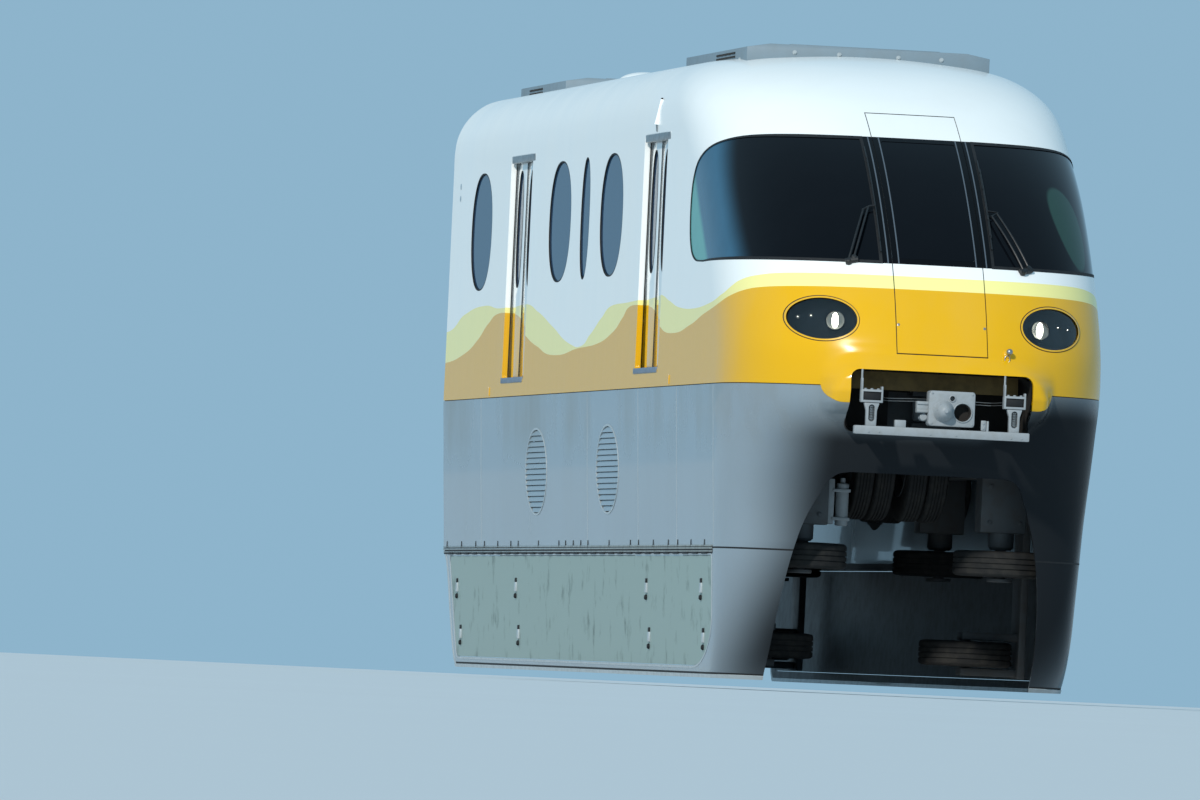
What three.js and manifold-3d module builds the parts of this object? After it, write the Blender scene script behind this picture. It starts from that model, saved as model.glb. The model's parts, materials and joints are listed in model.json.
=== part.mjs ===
// Lead car of a straddle-beam monorail train, in millimetres.
// Origin on the beam's running surface under the middle of the car, front towards -Y, up +Z.
import * as THREE from 'three';
import { mergeVertices } from 'three/addons/utils/BufferGeometryUtils.js';
import Module from 'manifold-3d';

const wasm = await Module();
wasm.setup();

// Driving dimensions
const BODY_REAR = 7420;
const FLOOR_TOP = 1130;
const FLOOR_THICK = 80;
const SEAM_Z = 1000;
const CLIP_Z = -270;
const SKIRT_BOTTOM = -1280;
const EAVES_Z = 3120;
const NOSE_JOINT_Y = -4300;
const CHIN_JOINT_Y = -5810;
const SKIN = 35;
const FIT = 0.3;
const PLAN_POWER = 2.6;
const PLAN_STEPS = 11;
const BEAM_HALF = 425;

// Hull stations: height, front of the centreline, half width, where the side turns flat
const HULL = [
  { z: -1280, front: -6270, half: 1384, turn: -5560 },
  { z: -1200, front: -6330, half: 1390, turn: -5640 },
  { z: -1050, front: -6450, half: 1397, turn: -5750 },
  { z: -890, front: -6545, half: 1403, turn: -5810 },
  { z: -570, front: -6710, half: 1416, turn: -5810 },
  { z: -270, front: -6800, half: 1430, turn: -5810 },
  { z: 0, front: -6870, half: 1442, turn: -5810 },
  { z: 200, front: -6970, half: 1453, turn: -5810 },
  { z: 420, front: -7120, half: 1464, turn: -5810 },
  { z: 700, front: -7290, half: 1476, turn: -5810 },
  { z: 1000, front: -7410, half: 1490, turn: -5810 },
  { z: 1262, front: -7420, half: 1490, turn: -5790 },
  { z: 1510, front: -7330, half: 1490, turn: -5680 },
  { z: 1800, front: -7175, half: 1490, turn: -5460 },
  { z: 1956, front: -7070, half: 1490, turn: -5330 },
  { z: 2250, front: -6815, half: 1490, turn: -5060 },
  { z: 2560, front: -6490, half: 1490, turn: -4710 },
  { z: 2800, front: -6190, half: 1490, turn: -4330 },
  { z: 2963, front: -5950, half: 1490, turn: -4030 },
  { z: 3120, front: -5690, half: 1490, turn: -3740 },
  { z: 3250, front: -5440, half: 1473, turn: -3510 },
  { z: 3350, front: -5210, half: 1434, turn: -3320 },
  { z: 3440, front: -4965, half: 1374, turn: -3100 },
  { z: 3520, front: -4690, half: 1290, turn: -2850 },
  { z: 3580, front: -4420, half: 1186, turn: -2600 },
  { z: 3615, front: -4210, half: 1060, turn: -2450 },
  { z: 3640, front: -4020, half: 850, turn: -2350 },
  { z: 3663, front: -3780, half: 595, turn: -2250 },
  { z: 3680, front: -3480, half: 283, turn: -2150 },
  { z: 3684, front: -3200, half: 127, turn: -2100 },
];

// Doorways: middle seam and half width along the car
const DOORWAYS = [
  { name: 'front', seam: -2755, half: 535 },
  { name: 'rear', seam: 3805, half: 555 },
];
const DOOR_TOP = 3020;
const LEAF_OUT = 1440;
const LEAF_IN = 1400;
const LEAF_BOTTOM = 1136;
const LEAF_TOP = 3050;
const LEAF_LAP = 20;
const LEAF_GAP = 6;

// Side windows: centre and half width along the car
const WINDOWS = [
  { y: -770, half: 540 },
  { y: 510, half: 215 },
  { y: 1750, half: 540 },
  { y: 5780, half: 540 },
];
const WINDOW_Z = 2415;
const WINDOW_RISE = 500;
const GLAZING = [
  { name: 'mid', from: -1380, to: 2360 },
  { name: 'rear', from: 5170, to: 6390 },
];

// Louvred vents in the lower side: centre along the car
const VENTS = [{ y: 2540 }, { y: -970 }];
const VENT_HALF = 525;
const VENT_RISE = 350;
const VENT_Z = 362;

// Front glass, seen from the side: y, z
const SCREEN_SIDE = [
  [-7700, 1956], [-4960, 1956], [-4740, 1985], [-4580, 2060], [-4500, 2170], [-4510, 2290],
  [-4600, 2430], [-4780, 2610], [-5000, 2750], [-5300, 2855], [-5600, 2915], [-5900, 2955],
  [-6100, 2963], [-7700, 2963],
];
const PILLAR_IN = 355;
const PILLAR_OUT = 428;
const FLAP = { half: 350, bottom: 1267, top: 3154.7 };
const LAMP = { x: 895, z: 1510, half: 275, rise: 165 };

// Arch over the beam, seen from the front: x, z of the right half, top to bottom
const ARCH = [
  [0, 345], [600, 345], [690, 325], [750, 270], [790, 190], [840, 85], [905, -90], [950, -270],
  [1000, -570], [1030, -890], [1045, -1200], [1050, -1500],
];

// Coupler mouth in the nose
const MOUTH = { half: 710, bottom: 655, top: 1130 };
const COUPLER_PIVOT_Y = -6760;
const HOOD_HALF = 905;
const HOOD_FRONT = -7600;
const HOOD_SIDE = [
  [-7300, 1330], [-7418, 1270], [-7500, 1225], [-7575, 1150], [-7600, 1060], [-7592, 960],
  [-7545, 870], [-7460, 810], [-7340, 790], [-7000, 790], [-7000, 1330],
];

// Roof equipment
const ROOF_UNITS = [
  { name: 'roof_unit_front', from: -3760, to: -1000 },
  { name: 'roof_unit_rear', from: 4880, to: 7200 },
];
const ROOF_UNIT_HALF = 975;
const ROOF_UNIT_TOP = 3748;

// Bogies
const BOGIES = [
  { name: 'front', y: -4800 },
  { name: 'rear', y: 4800 },
];
const AXLE_REACH = 750;
const AXLE_Z = 503;
const GUIDE_RADIUS = 365;
const GUIDE_X = BEAM_HALF + GUIDE_RADIUS;
const GUIDE_REACH = 1250;
const GUIDE_Z = -300;
const GUIDE_PIN = 42;
const AXLE_PIN = 60;
const STEADY_Z = -1000;
const SIDES = [
  { name: 'left', sign: 1 },
  { name: 'right', sign: -1 },
];

// Closed solid from a three.js geometry
function solid(geometry) {
  const bare = geometry.clone();
  for (const name of Object.keys(bare.attributes)) {
    if (name !== 'position') bare.deleteAttribute(name);
  }
  const merged = mergeVertices(bare, 1e-3);
  const vertProperties = new Float32Array(merged.attributes.position.array);
  const triVerts = new Uint32Array(merged.index.array);
  const build = () => new wasm.Manifold(new wasm.Mesh({ numProp: 3, vertProperties, triVerts }));
  let body = build();
  if (body.volume() < 0) {
    for (let i = 0; i < triVerts.length; i += 3) {
      [triVerts[i], triVerts[i + 1]] = [triVerts[i + 1], triVerts[i]];
    }
    body = build();
  }
  return body;
}

// Block between two corners
function block(x0, x1, y0, y1, z0, z1) {
  const shape = new THREE.BoxGeometry(x1 - x0, y1 - y0, z1 - z0);
  shape.translate((x0 + x1) / 2, (y0 + y1) / 2, (z0 + z1) / 2);
  return solid(shape);
}

// Prism along X, Y or Z of a flat outline given in the two other axes, in their order
function prism(axis, outline, from, to) {
  const shape = new THREE.Shape(outline.map(([a, b]) => new THREE.Vector2(a, b)));
  const geometry = new THREE.ExtrudeGeometry(shape, { depth: to - from, bevelEnabled: false });
  const [ex, ey, ez] = [[1, 0, 0], [0, 1, 0], [0, 0, 1]].map((v) => new THREE.Vector3(...v));
  const turn = new THREE.Matrix4();
  if (axis === 'x') turn.makeBasis(ey, ez, ex).setPosition(from, 0, 0);
  if (axis === 'y') turn.makeBasis(ex, ez, ey.clone().negate()).setPosition(0, to, 0);
  if (axis === 'z') turn.makeBasis(ex, ey, ez).setPosition(0, 0, from);
  return solid(geometry.applyMatrix4(turn));
}

// Oval outline around a centre
function oval(ca, cb, ra, rb, steps = 28, power = 2) {
  return Array.from({ length: steps }, (_, i) => {
    const t = (i / steps) * Math.PI * 2;
    const bend = (v) => Math.sign(v) * Math.abs(v) ** (2 / power);
    return [ca + ra * bend(Math.cos(t)), cb + rb * bend(Math.sin(t))];
  });
}

// Rectangle outline with rounded corners
function rounded(a0, a1, b0, b1, radius, steps = 4) {
  const corners = [
    [a1 - radius, b1 - radius, 0], [a0 + radius, b1 - radius, 1],
    [a0 + radius, b0 + radius, 2], [a1 - radius, b0 + radius, 3],
  ];
  return corners.flatMap(([ca, cb, quarter]) => Array.from({ length: steps + 1 }, (_, i) => {
    const t = (quarter + i / steps) * Math.PI / 2;
    return [ca + radius * Math.cos(t), cb + radius * Math.sin(t)];
  }));
}

// Turned solid about an upright axis from rows of radius and height
function turned(rows, steps) {
  return solid(new THREE.LatheGeometry(rows.map(([r, h]) => new THREE.Vector2(r, h)), steps)
    .rotateX(Math.PI / 2));
}

// Upright rod
function rod(x, y, z0, z1, radius, steps = 12) {
  return turned([[0, z0], [radius, z0], [radius, z1], [0, z1]], steps).translate([x, y, 0]);
}

// Rod lying across the car
function crossRod(x0, x1, y, z, radius, steps = 12) {
  return turned([[0, x0], [radius, x0], [radius, x1], [0, x1]], steps)
    .rotate([0, 90, 0]).translate([0, y, z]);
}

// Corner radius of a faceted bore that a round pin turns in
const bore = (pin, steps) => (pin + FIT) / Math.cos(Math.PI / steps);

// One body from several overlapping ones
const join = (...bodies) => bodies.reduce((whole, body) => whole.add(body));

// One edge of the hull moved inwards along its normal: rows of value and height
function inset(key, sign, depth) {
  return HULL.map((row, i) => {
    const before = HULL[Math.max(i - 1, 0)];
    const after = HULL[Math.min(i + 1, HULL.length - 1)];
    const dv = after[key] - before[key];
    const dz = after.z - before.z;
    const length = Math.hypot(dv, dz);
    return { v: row[key] - sign * depth * dz / length, z: row.z + sign * depth * dv / length };
  });
}

// Value of an edge at a height
function along(rows, z) {
  let i = rows.findIndex((row) => row.z >= z);
  if (i < 0) i = rows.length - 1;
  i = Math.max(i, 1);
  const [a, b] = [rows[i - 1], rows[i]];
  return a.v + (b.v - a.v) * (z - a.z) / (b.z - a.z);
}

// Plan outline of the hull at one station, rear left round the nose to rear right
function planOutline(half, front, turn, rear) {
  const bend = 2 / PLAN_POWER;
  const nose = [];
  for (let i = -PLAN_STEPS; i <= PLAN_STEPS; i += 1) {
    const t = (1 - Math.abs(i) / PLAN_STEPS) * Math.PI / 2;
    const x = -Math.sign(i) * half * Math.cos(t) ** bend;
    nose.push([i === 0 ? 0 : x, turn - (turn - front) * Math.sin(t) ** bend]);
  }
  return [[half, rear], ...nose, [-half, rear]];
}

// Solid inside the hull's skin at a depth below it
function hull(depth) {
  const sides = inset('half', 1, depth);
  const fronts = inset('front', -1, depth);
  const rear = depth > 0 ? BODY_REAR + 400 : BODY_REAR;
  const rings = sides.map((row, i) => {
    const outline = planOutline(row.v, along(fronts, row.z), HULL[i].turn, rear);
    return { z: depth > 0 && i === 0 ? row.z - 200 : row.z, outline };
  });
  const count = rings[0].outline.length;
  const points = rings.flatMap(({ z, outline }) => outline.flatMap(([x, y]) => [x, y, z]));
  const faces = [];
  for (let k = 0; k + 1 < rings.length; k += 1) {
    for (let j = 0; j < count; j += 1) {
      const [a, b] = [k * count + j, k * count + (j + 1) % count];
      faces.push(a, a + count, b, b, a + count, b + count);
    }
  }
  const cap = (k, flip) => {
    const flat = rings[k].outline.map(([x, y]) => new THREE.Vector2(x, y));
    for (const [a, b, c] of THREE.ShapeUtils.triangulateShape(flat, [])) {
      faces.push(...(flip ? [a, c, b] : [a, b, c]).map((v) => v + k * count));
    }
  };
  cap(0, true);
  cap(rings.length - 1, false);
  const geometry = new THREE.BufferGeometry();
  geometry.setAttribute('position', new THREE.Float32BufferAttribute(points, 3));
  geometry.setIndex(faces);
  return solid(geometry);
}

const outside = hull(0);
const lining = hull(SKIN);
const skin = outside.subtract(lining);
const cabin = hull(SKIN + FIT);
const arch = prism('y', [...ARCH, ...ARCH.slice(1).reverse().map(([x, z]) => [-x, z])],
  -8000, -5000);

const FINISHES = {
  white: { color: 0xf1f5f4, roughness: 0.35 },
  yellow: { color: 0xeebc16, roughness: 0.35 },
  grey: { color: 0x8a929a, roughness: 0.4 },
  panel: { color: 0x879b94, roughness: 0.55 },
  glass: { color: 0x0e1518, roughness: 0.08 },
  steel: { color: 0x5a5e62, roughness: 0.5, metalness: 0.6 },
  dark: { color: 0x202326, roughness: 0.7 },
  tyre: { color: 0x17181a, roughness: 0.9 },
  unit: { color: 0xa6adb0, roughness: 0.5 },
  seat: { color: 0x35508a, roughness: 0.9 },
};
const car = new THREE.Group();
car.name = 'monorail_car';

// Named piece of the car from a closed solid
function piece(name, finish, body) {
  const mesh = body.getMesh();
  const geometry = new THREE.BufferGeometry();
  geometry.setAttribute('position', new THREE.BufferAttribute(mesh.vertProperties, 3));
  geometry.setIndex(new THREE.BufferAttribute(mesh.triVerts, 1));
  geometry.computeVertexNormals();
  const part = new THREE.Mesh(geometry, new THREE.MeshStandardMaterial(FINISHES[finish]));
  part.name = name;
  car.add(part);
}

// Underframe: floor, side sills, end beams and the two bogie pivots
const floorBottom = FLOOR_TOP - FLOOR_THICK;
let underframe = cabin.intersect(block(-1600, 1600, -6800, BODY_REAR - 41, floorBottom, FLOOR_TOP));
for (const { sign } of SIDES) {
  const [x0, x1] = sign > 0 ? [1270, 1400] : [-1400, -1270];
  underframe = join(underframe, block(x0, x1, -5800, 7300, 760, floorBottom + 5));
}
for (const y of [-2600, 2600]) {
  underframe = join(underframe, block(-1400, 1400, y - 90, y + 90, 820, floorBottom + 5));
}
underframe = join(underframe, block(-1400, 1400, 7180, 7300, 700, floorBottom + 5));
underframe = join(underframe, block(-640, 640, -6640, -6480, 700, floorBottom + 5));
for (const z of [700, 955]) {
  underframe = join(underframe, block(-110, 110, COUPLER_PIVOT_Y - 110, -6600, z, z + 45));
}
underframe = join(underframe, rod(0, COUPLER_PIVOT_Y, 710, 990, 34));
for (const { y } of BOGIES) {
  underframe = join(underframe, rod(0, y, 735, floorBottom + 5, 110, 20));
}
piece('underframe', 'dark', underframe);

// Upper side walls with doorways, windows and a door track on the inside
for (const { name, sign } of SIDES) {
  const [x0, x1] = sign > 0 ? [0, 1600] : [-1600, 0];
  const inward = (a, b) => (sign > 0 ? [a, b] : [-b, -a]);
  let wall = skin.intersect(block(x0, x1, NOSE_JOINT_Y + FIT, BODY_REAR, SEAM_Z + FIT, EAVES_Z));
  for (const { seam, half } of DOORWAYS) {
    const doorway = rounded(seam - half, seam + half, FLOOR_TOP, DOOR_TOP, 60);
    wall = wall.subtract(prism('x', doorway, x0, x1));
    const reach = half * 2 + 40;
    const [t0, t1] = inward(LEAF_IN, 1475);
    wall = join(wall, block(t0, t1, seam - reach, seam + reach, LEAF_TOP + FIT, EAVES_Z - 10));
  }
  for (const { y, half } of WINDOWS) {
    wall = wall.subtract(prism('x', oval(y, WINDOW_Z, half, WINDOW_RISE, 32, 2.3), x0, x1));
  }
  piece(`side_wall_${name}`, 'white', wall);

  for (const { name: place, from, to } of GLAZING) {
    const [g0, g1] = inward(1442, 1490 - SKIN - FIT);
    piece(`glazing_${place}_${name}`, 'glass', block(g0, g1, from, to, 1870, 2960));
  }
}

// Roof, rear wall and gangway frame
const dome = prism('z', oval(-460, 3900, 170, 260, 20, 3), 3560, 3770);
const roof = skin.intersect(block(-1600, 1600, NOSE_JOINT_Y + FIT, BODY_REAR, EAVES_Z + FIT, 3800));
piece('roof', 'white', join(roof, dome.subtract(lining)));
const rearDoor = rounded(-600, 600, FLOOR_TOP, 3030, 90);
const rearWall = cabin.intersect(block(-1600, 1600, BODY_REAR - 40, BODY_REAR, SEAM_Z, 3800))
  .subtract(prism('y', rearDoor, 7000, 8000));
piece('rear_wall', 'white', rearWall);
const gangwayOuter = prism('y', rounded(-720, 720, 1060, 3150, 120), BODY_REAR + FIT, 7610);
piece('gangway', 'dark', gangwayOuter.subtract(prism('y', rearDoor, 7000, 8000)));

// Nose shell with the coupler hood, front glass, headlamps and the flap door
const hoodPlan = prism('z', [[-HOOD_HALF, -6900], [HOOD_HALF, -6900],
  ...oval(0, -6900, HOOD_HALF, -6900 - HOOD_FRONT, 48, 5)
    .filter(([, y]) => y < -6901).reverse()], 600, 1500);
const hood = prism('x', HOOD_SIDE, -HOOD_HALF, HOOD_HALF).intersect(hoodPlan)
  .subtract(prism('y', rounded(-MOUTH.half, MOUTH.half, 400, MOUTH.top, 70), -8000, -6000));
const hoodSpace = prism('x', HOOD_SIDE.map(([y, z]) => [y, z - FIT]),
  -HOOD_HALF - FIT, HOOD_HALF + FIT);
const mouth = prism('y', rounded(-MOUTH.half, MOUTH.half, MOUTH.bottom, MOUTH.top, 60), -8000, -6200);
const screenCut = (from, to) => prism('x', SCREEN_SIDE, from, to);
const flapHole = block(-PILLAR_IN, PILLAR_IN, -8000, -5000, 1262, 3155);
const lampHole = ({ x, z, half, rise }, sign, spare) =>
  prism('y', oval(sign * x, z, half + spare, rise + spare, 32), -8000, -6600);

let nose = skin.intersect(block(-1600, 1600, -8000, NOSE_JOINT_Y, SEAM_Z + FIT, 3800));
nose = join(nose, hood.subtract(hull(SKIN + 10)));
nose = nose.subtract(screenCut(PILLAR_OUT, 1600)).subtract(screenCut(-1600, -PILLAR_OUT));
nose = nose.subtract(flapHole).subtract(mouth);
for (const { sign } of SIDES) nose = nose.subtract(lampHole(LAMP, sign, FIT));
piece('nose_shell', 'yellow', nose);

const glassSkin = hull(3).subtract(hull(15));
const screenPane = SCREEN_SIDE.map(([y, z]) => {
  const [cy, cz] = [-5800, 2460];
  const length = Math.hypot(y - cy, z - cz);
  return [y - (y - cy) * FIT * 1.5 / length, z - (z - cz) * FIT * 1.5 / length];
});
for (const { name, sign } of SIDES) {
  const [x0, x1] = sign > 0 ? [PILLAR_OUT + FIT, 1600] : [-1600, -PILLAR_OUT - FIT];
  piece(`windshield_${name}`, 'glass', glassSkin.intersect(prism('x', screenPane, x0, x1)));
  const lens = hull(4).subtract(hull(70)).intersect(lampHole(LAMP, sign, 0));
  piece(`headlamp_${name}`, 'glass', lens);
}

const paneHole = (spare) => block(-300 + spare, 300 - spare, -8000, -5000,
  2000 + spare, 2930 - spare);
piece('front_door', 'yellow', outside.subtract(hull(30))
  .intersect(block(-FLAP.half, FLAP.half, -8000, -5000, FLAP.bottom, FLAP.top))
  .subtract(paneHole(0)));
piece('front_door_glass', 'glass', glassSkin.intersect(paneHole(FIT)));

// Chin under the nose, with the arch over the beam and the coupler mouth
const chin = skin.intersect(block(-1600, 1600, -8000, CHIN_JOINT_Y, CLIP_Z, SEAM_Z))
  .subtract(arch).subtract(mouth).subtract(hoodSpace);
piece('chin', 'grey', chin);

// Lower sides with blind vent recesses, and the skirts with their inset access panels
const rearSlant = [[7420, CLIP_Z], [7270, -380], [7100, -760], [6930, -1100], [6860, -1200],
  [6730, SKIRT_BOTTOM], [-9000, SKIRT_BOTTOM], [-9000, CLIP_Z]];
const panelOutline = (spare) => {
  const [y0, y1, z0, z1] = [-5760 + spare, 7060 - spare, -1190 + spare, -330 - spare];
  const corner = (cy, cz, radius, from) => Array.from({ length: 7 }, (_, i) => {
    const t = (from + i / 6) * Math.PI / 2;
    return [cy + radius * Math.cos(t), cz + radius * Math.sin(t)];
  });
  return [[y1, z1], [y0, z1], ...corner(y0 + 260, z0 + 260, 260, 2),
    ...corner(y1 - 460, z0 + 160, 160, 3), [y1 - 220, z0 + 300]];
};
for (const { name, sign } of SIDES) {
  const [x0, x1] = sign > 0 ? [0, 1600] : [-1600, 0];
  let lower = skin.intersect(block(x0, x1, CHIN_JOINT_Y + FIT, BODY_REAR, CLIP_Z, SEAM_Z));
  const [v0, v1] = sign > 0 ? [1445, 1600] : [-1600, -1445];
  for (const { y } of VENTS) {
    lower = lower.subtract(prism('x', oval(y, VENT_Z, VENT_HALF, VENT_RISE, 32), v0, v1));
  }
  piece(`lower_side_${name}`, 'grey', lower);

  const skirt = skin.intersect(prism('x', rearSlant, x0, x1)).subtract(arch)
    .intersect(block(-1600, 1600, -8000, 8000, SKIRT_BOTTOM, CLIP_Z - FIT));
  piece(`skirt_${name}`, 'grey', skirt.subtract(prism('x', panelOutline(0), x0, x1)));
  const panelSkin = hull(4).subtract(hull(22));
  const panel = panelSkin.intersect(prism('x', panelOutline(FIT), x0, x1));
  piece(`skirt_panel_${name}`, 'panel', panel);
}

// Roof units, sitting on the cambered roof
const roofTop = hull(-FIT);
for (const { name, from, to } of ROOF_UNITS) {
  const half = ROOF_UNIT_HALF;
  const plan = [[-half, to], [half, to], [half, from + 420], [half - 260, from],
    [-half + 260, from], [-half, from + 420]];
  piece(name, 'unit', prism('z', plan, 3500, ROOF_UNIT_TOP).subtract(roofTop));
}

// Cab and saloon fittings
const floorFit = FLOOR_TOP + FIT;
piece('cab_bulkhead', 'white', cabin.intersect(block(-1600, 1600, -3960, -3920, floorFit, 3080))
  .subtract(block(-380, 380, -5000, 0, 1000, 3000)));
piece('cab_desk', 'dark', cabin.intersect(join(
  block(-1400, -420, -6600, -6180, floorFit, 1830),
  block(-1400, -420, -6600, -5960, 1760, 1860),
)));
piece('cab_seat', 'dark', join(
  rod(-840, -5400, floorFit, 1520, 70),
  block(-1080, -600, -5640, -5160, 1500, 1600),
  block(-1060, -620, -5240, -5160, 1560, 2160),
));
for (const { name, sign } of SIDES) {
  const [b0, b1] = sign > 0 ? [930, 1380] : [-1380, -930];
  const [c0, c1] = sign > 0 ? [1300, 1380] : [-1380, -1300];
  piece(`bench_${name}`, 'seat', join(
    block(b0, b1, -1560, 2560, floorFit, 1570),
    block(c0, c1, -1560, 2560, 1560, 1860),
  ));
}

// Step bar in front of the mouth, carrying the coupler's two spring hangers
let stepBar = block(-690, 690, -7590, -7520, 637, 700);
for (const { sign } of SIDES) {
  const x = sign * 560;
  stepBar = join(stepBar, block(x - 45, x + 45, -7570, -7530, 690, 960));
  stepBar = join(stepBar, block(x - 40, x + 40, -7560, -6500, 658, 700 - FIT));
}
piece('step_bar', 'unit', stepBar);

// Coupler: drawbar, head plate, cone and the round socket beside the cone
const coneSocket = turned([[0, 0], [70, 0], [70, 90], [0, 90]], 24).rotate([90, 0, 0])
  .translate([150, -7480, 830]);
const coupler = join(
  block(-40, 60, -7480, COUPLER_PIVOT_Y, 800, 890),
  rod(0, COUPLER_PIVOT_Y, 760, 940, 90, 20),
  prism('y', rounded(-114, 240, 717, 990, 25), -7560, -7440),
  turned([[0, 0], [80, 0], [36, 130], [0, 140]], 24).rotate([90, 0, 0]).translate([0, -7550, 835]),
  block(-200, -100, -7520, -7450, 800, 900),
).subtract(coneSocket).subtract(rod(0, COUPLER_PIVOT_Y, 700, 1000, bore(34, 18), 18));
piece('coupler', 'unit', coupler);

// Door leaves, two to a doorway
for (const { name: side, sign } of SIDES) {
  const [x0, x1] = sign > 0 ? [LEAF_IN, LEAF_OUT] : [-LEAF_OUT, -LEAF_IN];
  for (const { name, seam, half } of DOORWAYS) {
    for (const { name: end, dir } of [{ name: 'fore', dir: -1 }, { name: 'aft', dir: 1 }]) {
      const ends = [seam + dir * LEAF_GAP / 2, seam + dir * (half + LEAF_LAP)];
      const edges = ends.sort((a, b) => a - b);
      const middle = (edges[0] + edges[1]) / 2 - dir * LEAF_LAP / 2;
      const leaf = block(x0, x1, edges[0], edges[1], LEAF_BOTTOM, LEAF_TOP)
        .subtract(prism('x', oval(middle, 2405, 140, 490, 24, 2.6), x0 - 10, x1 + 10));
      piece(`leaf_${name}_${end}_${side}`, 'white', leaf);
    }
  }
}

// Wheel with a bore, lying flat about an upright axis
function flatWheel() {
  const hole = bore(GUIDE_PIN, 18);
  return turned([[hole, -80], [210, -80], [230, -95], [340, -100], [365, -60], [365, 60],
    [340, 100], [230, 95], [210, 80], [hole, 80], [hole, -80]], 18);
}

// Twin running wheels on one axle
function twinWheels() {
  const half = [[190, 55], [480, 48], [503, 90], [503, 335], [480, 372], [300, 368], [280, 335],
    [110, 335], [AXLE_PIN, 400], [AXLE_PIN, 680]];
  const rows = [...half.map(([r, h]) => [r, -h]).reverse(), ...half];
  return turned([[0, -680], ...rows, [0, 680]], 20).rotate([0, 90, 0]);
}

for (const { name, y } of BOGIES) {
  let frame = join(
    block(-1240, 1240, -180, 180, 420, 620),
    block(-560, 560, -180, 180, 600, 715),
  );
  frame = join(frame, rod(0, 0, 700, 860, 185, 20)).subtract(rod(0, 0, 725, 900, 125, 20));
  for (const { sign } of SIDES) {
    const reach = (a, b) => (sign > 0 ? [a, b] : [-b, -a]);
    const add = (a, b, ...rest) => { frame = join(frame, block(...reach(a, b), ...rest)); };
    add(560, 800, -1420, 1420, 360, 640);
    for (const end of [-1, 1]) {
      const middle = end * GUIDE_REACH;
      add(600, 960, middle - 120, middle + 120, -60, 380);
      frame = join(frame, rod(sign * GUIDE_X, middle, GUIDE_Z + 110, -40, 100));
      frame = join(frame, rod(sign * GUIDE_X, middle, GUIDE_Z - 140, 0, GUIDE_PIN));
      frame = join(frame, rod(sign * GUIDE_X, middle, GUIDE_Z - 140, GUIDE_Z - 110, 100));
      frame = frame.subtract(crossRod(-900, 900, end * AXLE_REACH, AXLE_Z, bore(AXLE_PIN, 12)));
    }
    add(1180, 1240, -170, 170, -1180, 600);
    add(740, 1200, -110, 110, STEADY_Z + 110, STEADY_Z + 170);
    add(740, 1200, -110, 110, STEADY_Z - 170, STEADY_Z - 110);
    frame = join(frame, rod(sign * GUIDE_X, 0, STEADY_Z - 150, STEADY_Z + 150, GUIDE_PIN));
    frame = join(frame, rod(sign * 950, 0, 600, floorBottom - FIT, 170, 18));
  }
  piece(`bogie_${name}`, 'steel', frame.translate([0, y, 0]));
  for (const { name: end, dir } of [{ name: 'fore', dir: -1 }, { name: 'aft', dir: 1 }]) {
    const wheels = twinWheels().translate([0, y + dir * AXLE_REACH, AXLE_Z]);
    piece(`wheelset_${name}_${end}`, 'tyre', wheels);
    for (const { name: side, sign } of SIDES) {
      const at = [sign * GUIDE_X, y + dir * GUIDE_REACH, GUIDE_Z];
      piece(`guide_wheel_${name}_${end}_${side}`, 'tyre', flatWheel().translate(at));
    }
  }
  for (const { name: side, sign } of SIDES) {
    const wheel = flatWheel().translate([sign * GUIDE_X, y, STEADY_Z]);
    piece(`stabiliser_wheel_${name}_${side}`, 'tyre', wheel);
  }
}

export default car;
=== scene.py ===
"""Lead car of a straddle-beam monorail train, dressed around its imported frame.

Metres throughout. The origin is on the beam's running surface under the middle of the car,
the front is towards -Y and up is +Z.
"""

from __future__ import annotations

import json
import logging
import math
from dataclasses import dataclass, field, replace
from enum import Enum
from typing import Iterable, Sequence

import bmesh
import bpy
import numpy as np
from mathutils import Matrix, Vector
from mathutils.bvhtree import BVHTree
from mathutils.interpolate import poly_3d_calc

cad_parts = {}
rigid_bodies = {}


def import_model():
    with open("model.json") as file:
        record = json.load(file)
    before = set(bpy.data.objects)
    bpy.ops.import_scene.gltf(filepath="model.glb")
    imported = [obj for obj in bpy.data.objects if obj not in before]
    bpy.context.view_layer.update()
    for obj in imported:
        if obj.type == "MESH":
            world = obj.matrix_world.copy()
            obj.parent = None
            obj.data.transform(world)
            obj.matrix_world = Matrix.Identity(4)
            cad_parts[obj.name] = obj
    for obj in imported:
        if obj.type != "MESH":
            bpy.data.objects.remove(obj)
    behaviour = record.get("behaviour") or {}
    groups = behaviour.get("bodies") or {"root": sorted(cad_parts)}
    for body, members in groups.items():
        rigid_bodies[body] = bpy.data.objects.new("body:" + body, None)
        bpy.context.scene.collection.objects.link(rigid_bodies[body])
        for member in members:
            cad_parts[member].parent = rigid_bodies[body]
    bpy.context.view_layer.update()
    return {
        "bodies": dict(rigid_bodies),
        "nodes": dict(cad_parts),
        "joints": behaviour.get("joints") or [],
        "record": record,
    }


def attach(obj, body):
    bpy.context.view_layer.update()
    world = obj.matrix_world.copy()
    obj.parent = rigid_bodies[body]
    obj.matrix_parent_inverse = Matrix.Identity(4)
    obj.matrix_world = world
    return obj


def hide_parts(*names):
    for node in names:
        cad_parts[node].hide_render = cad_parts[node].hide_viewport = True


LOG = logging.getLogger("monorail_car")
Outline = Sequence[tuple[float, float]]
Point = Sequence[float]
MM = 0.001
BODY = "car_body"
SIDES = {"left": 1, "right": -1}
# Reach along X of a cutter through the left wall, and a place ahead of the nose where cutters start
WALL_CUT = (1.3, 1.6)
AHEAD = -8.0


def set_up(name: str, data: bpy.types.ID) -> bpy.types.Object:
    """New object in the scene, with its data."""
    item = bpy.data.objects.new(name, data)
    bpy.context.scene.collection.objects.link(item)
    return item


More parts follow.
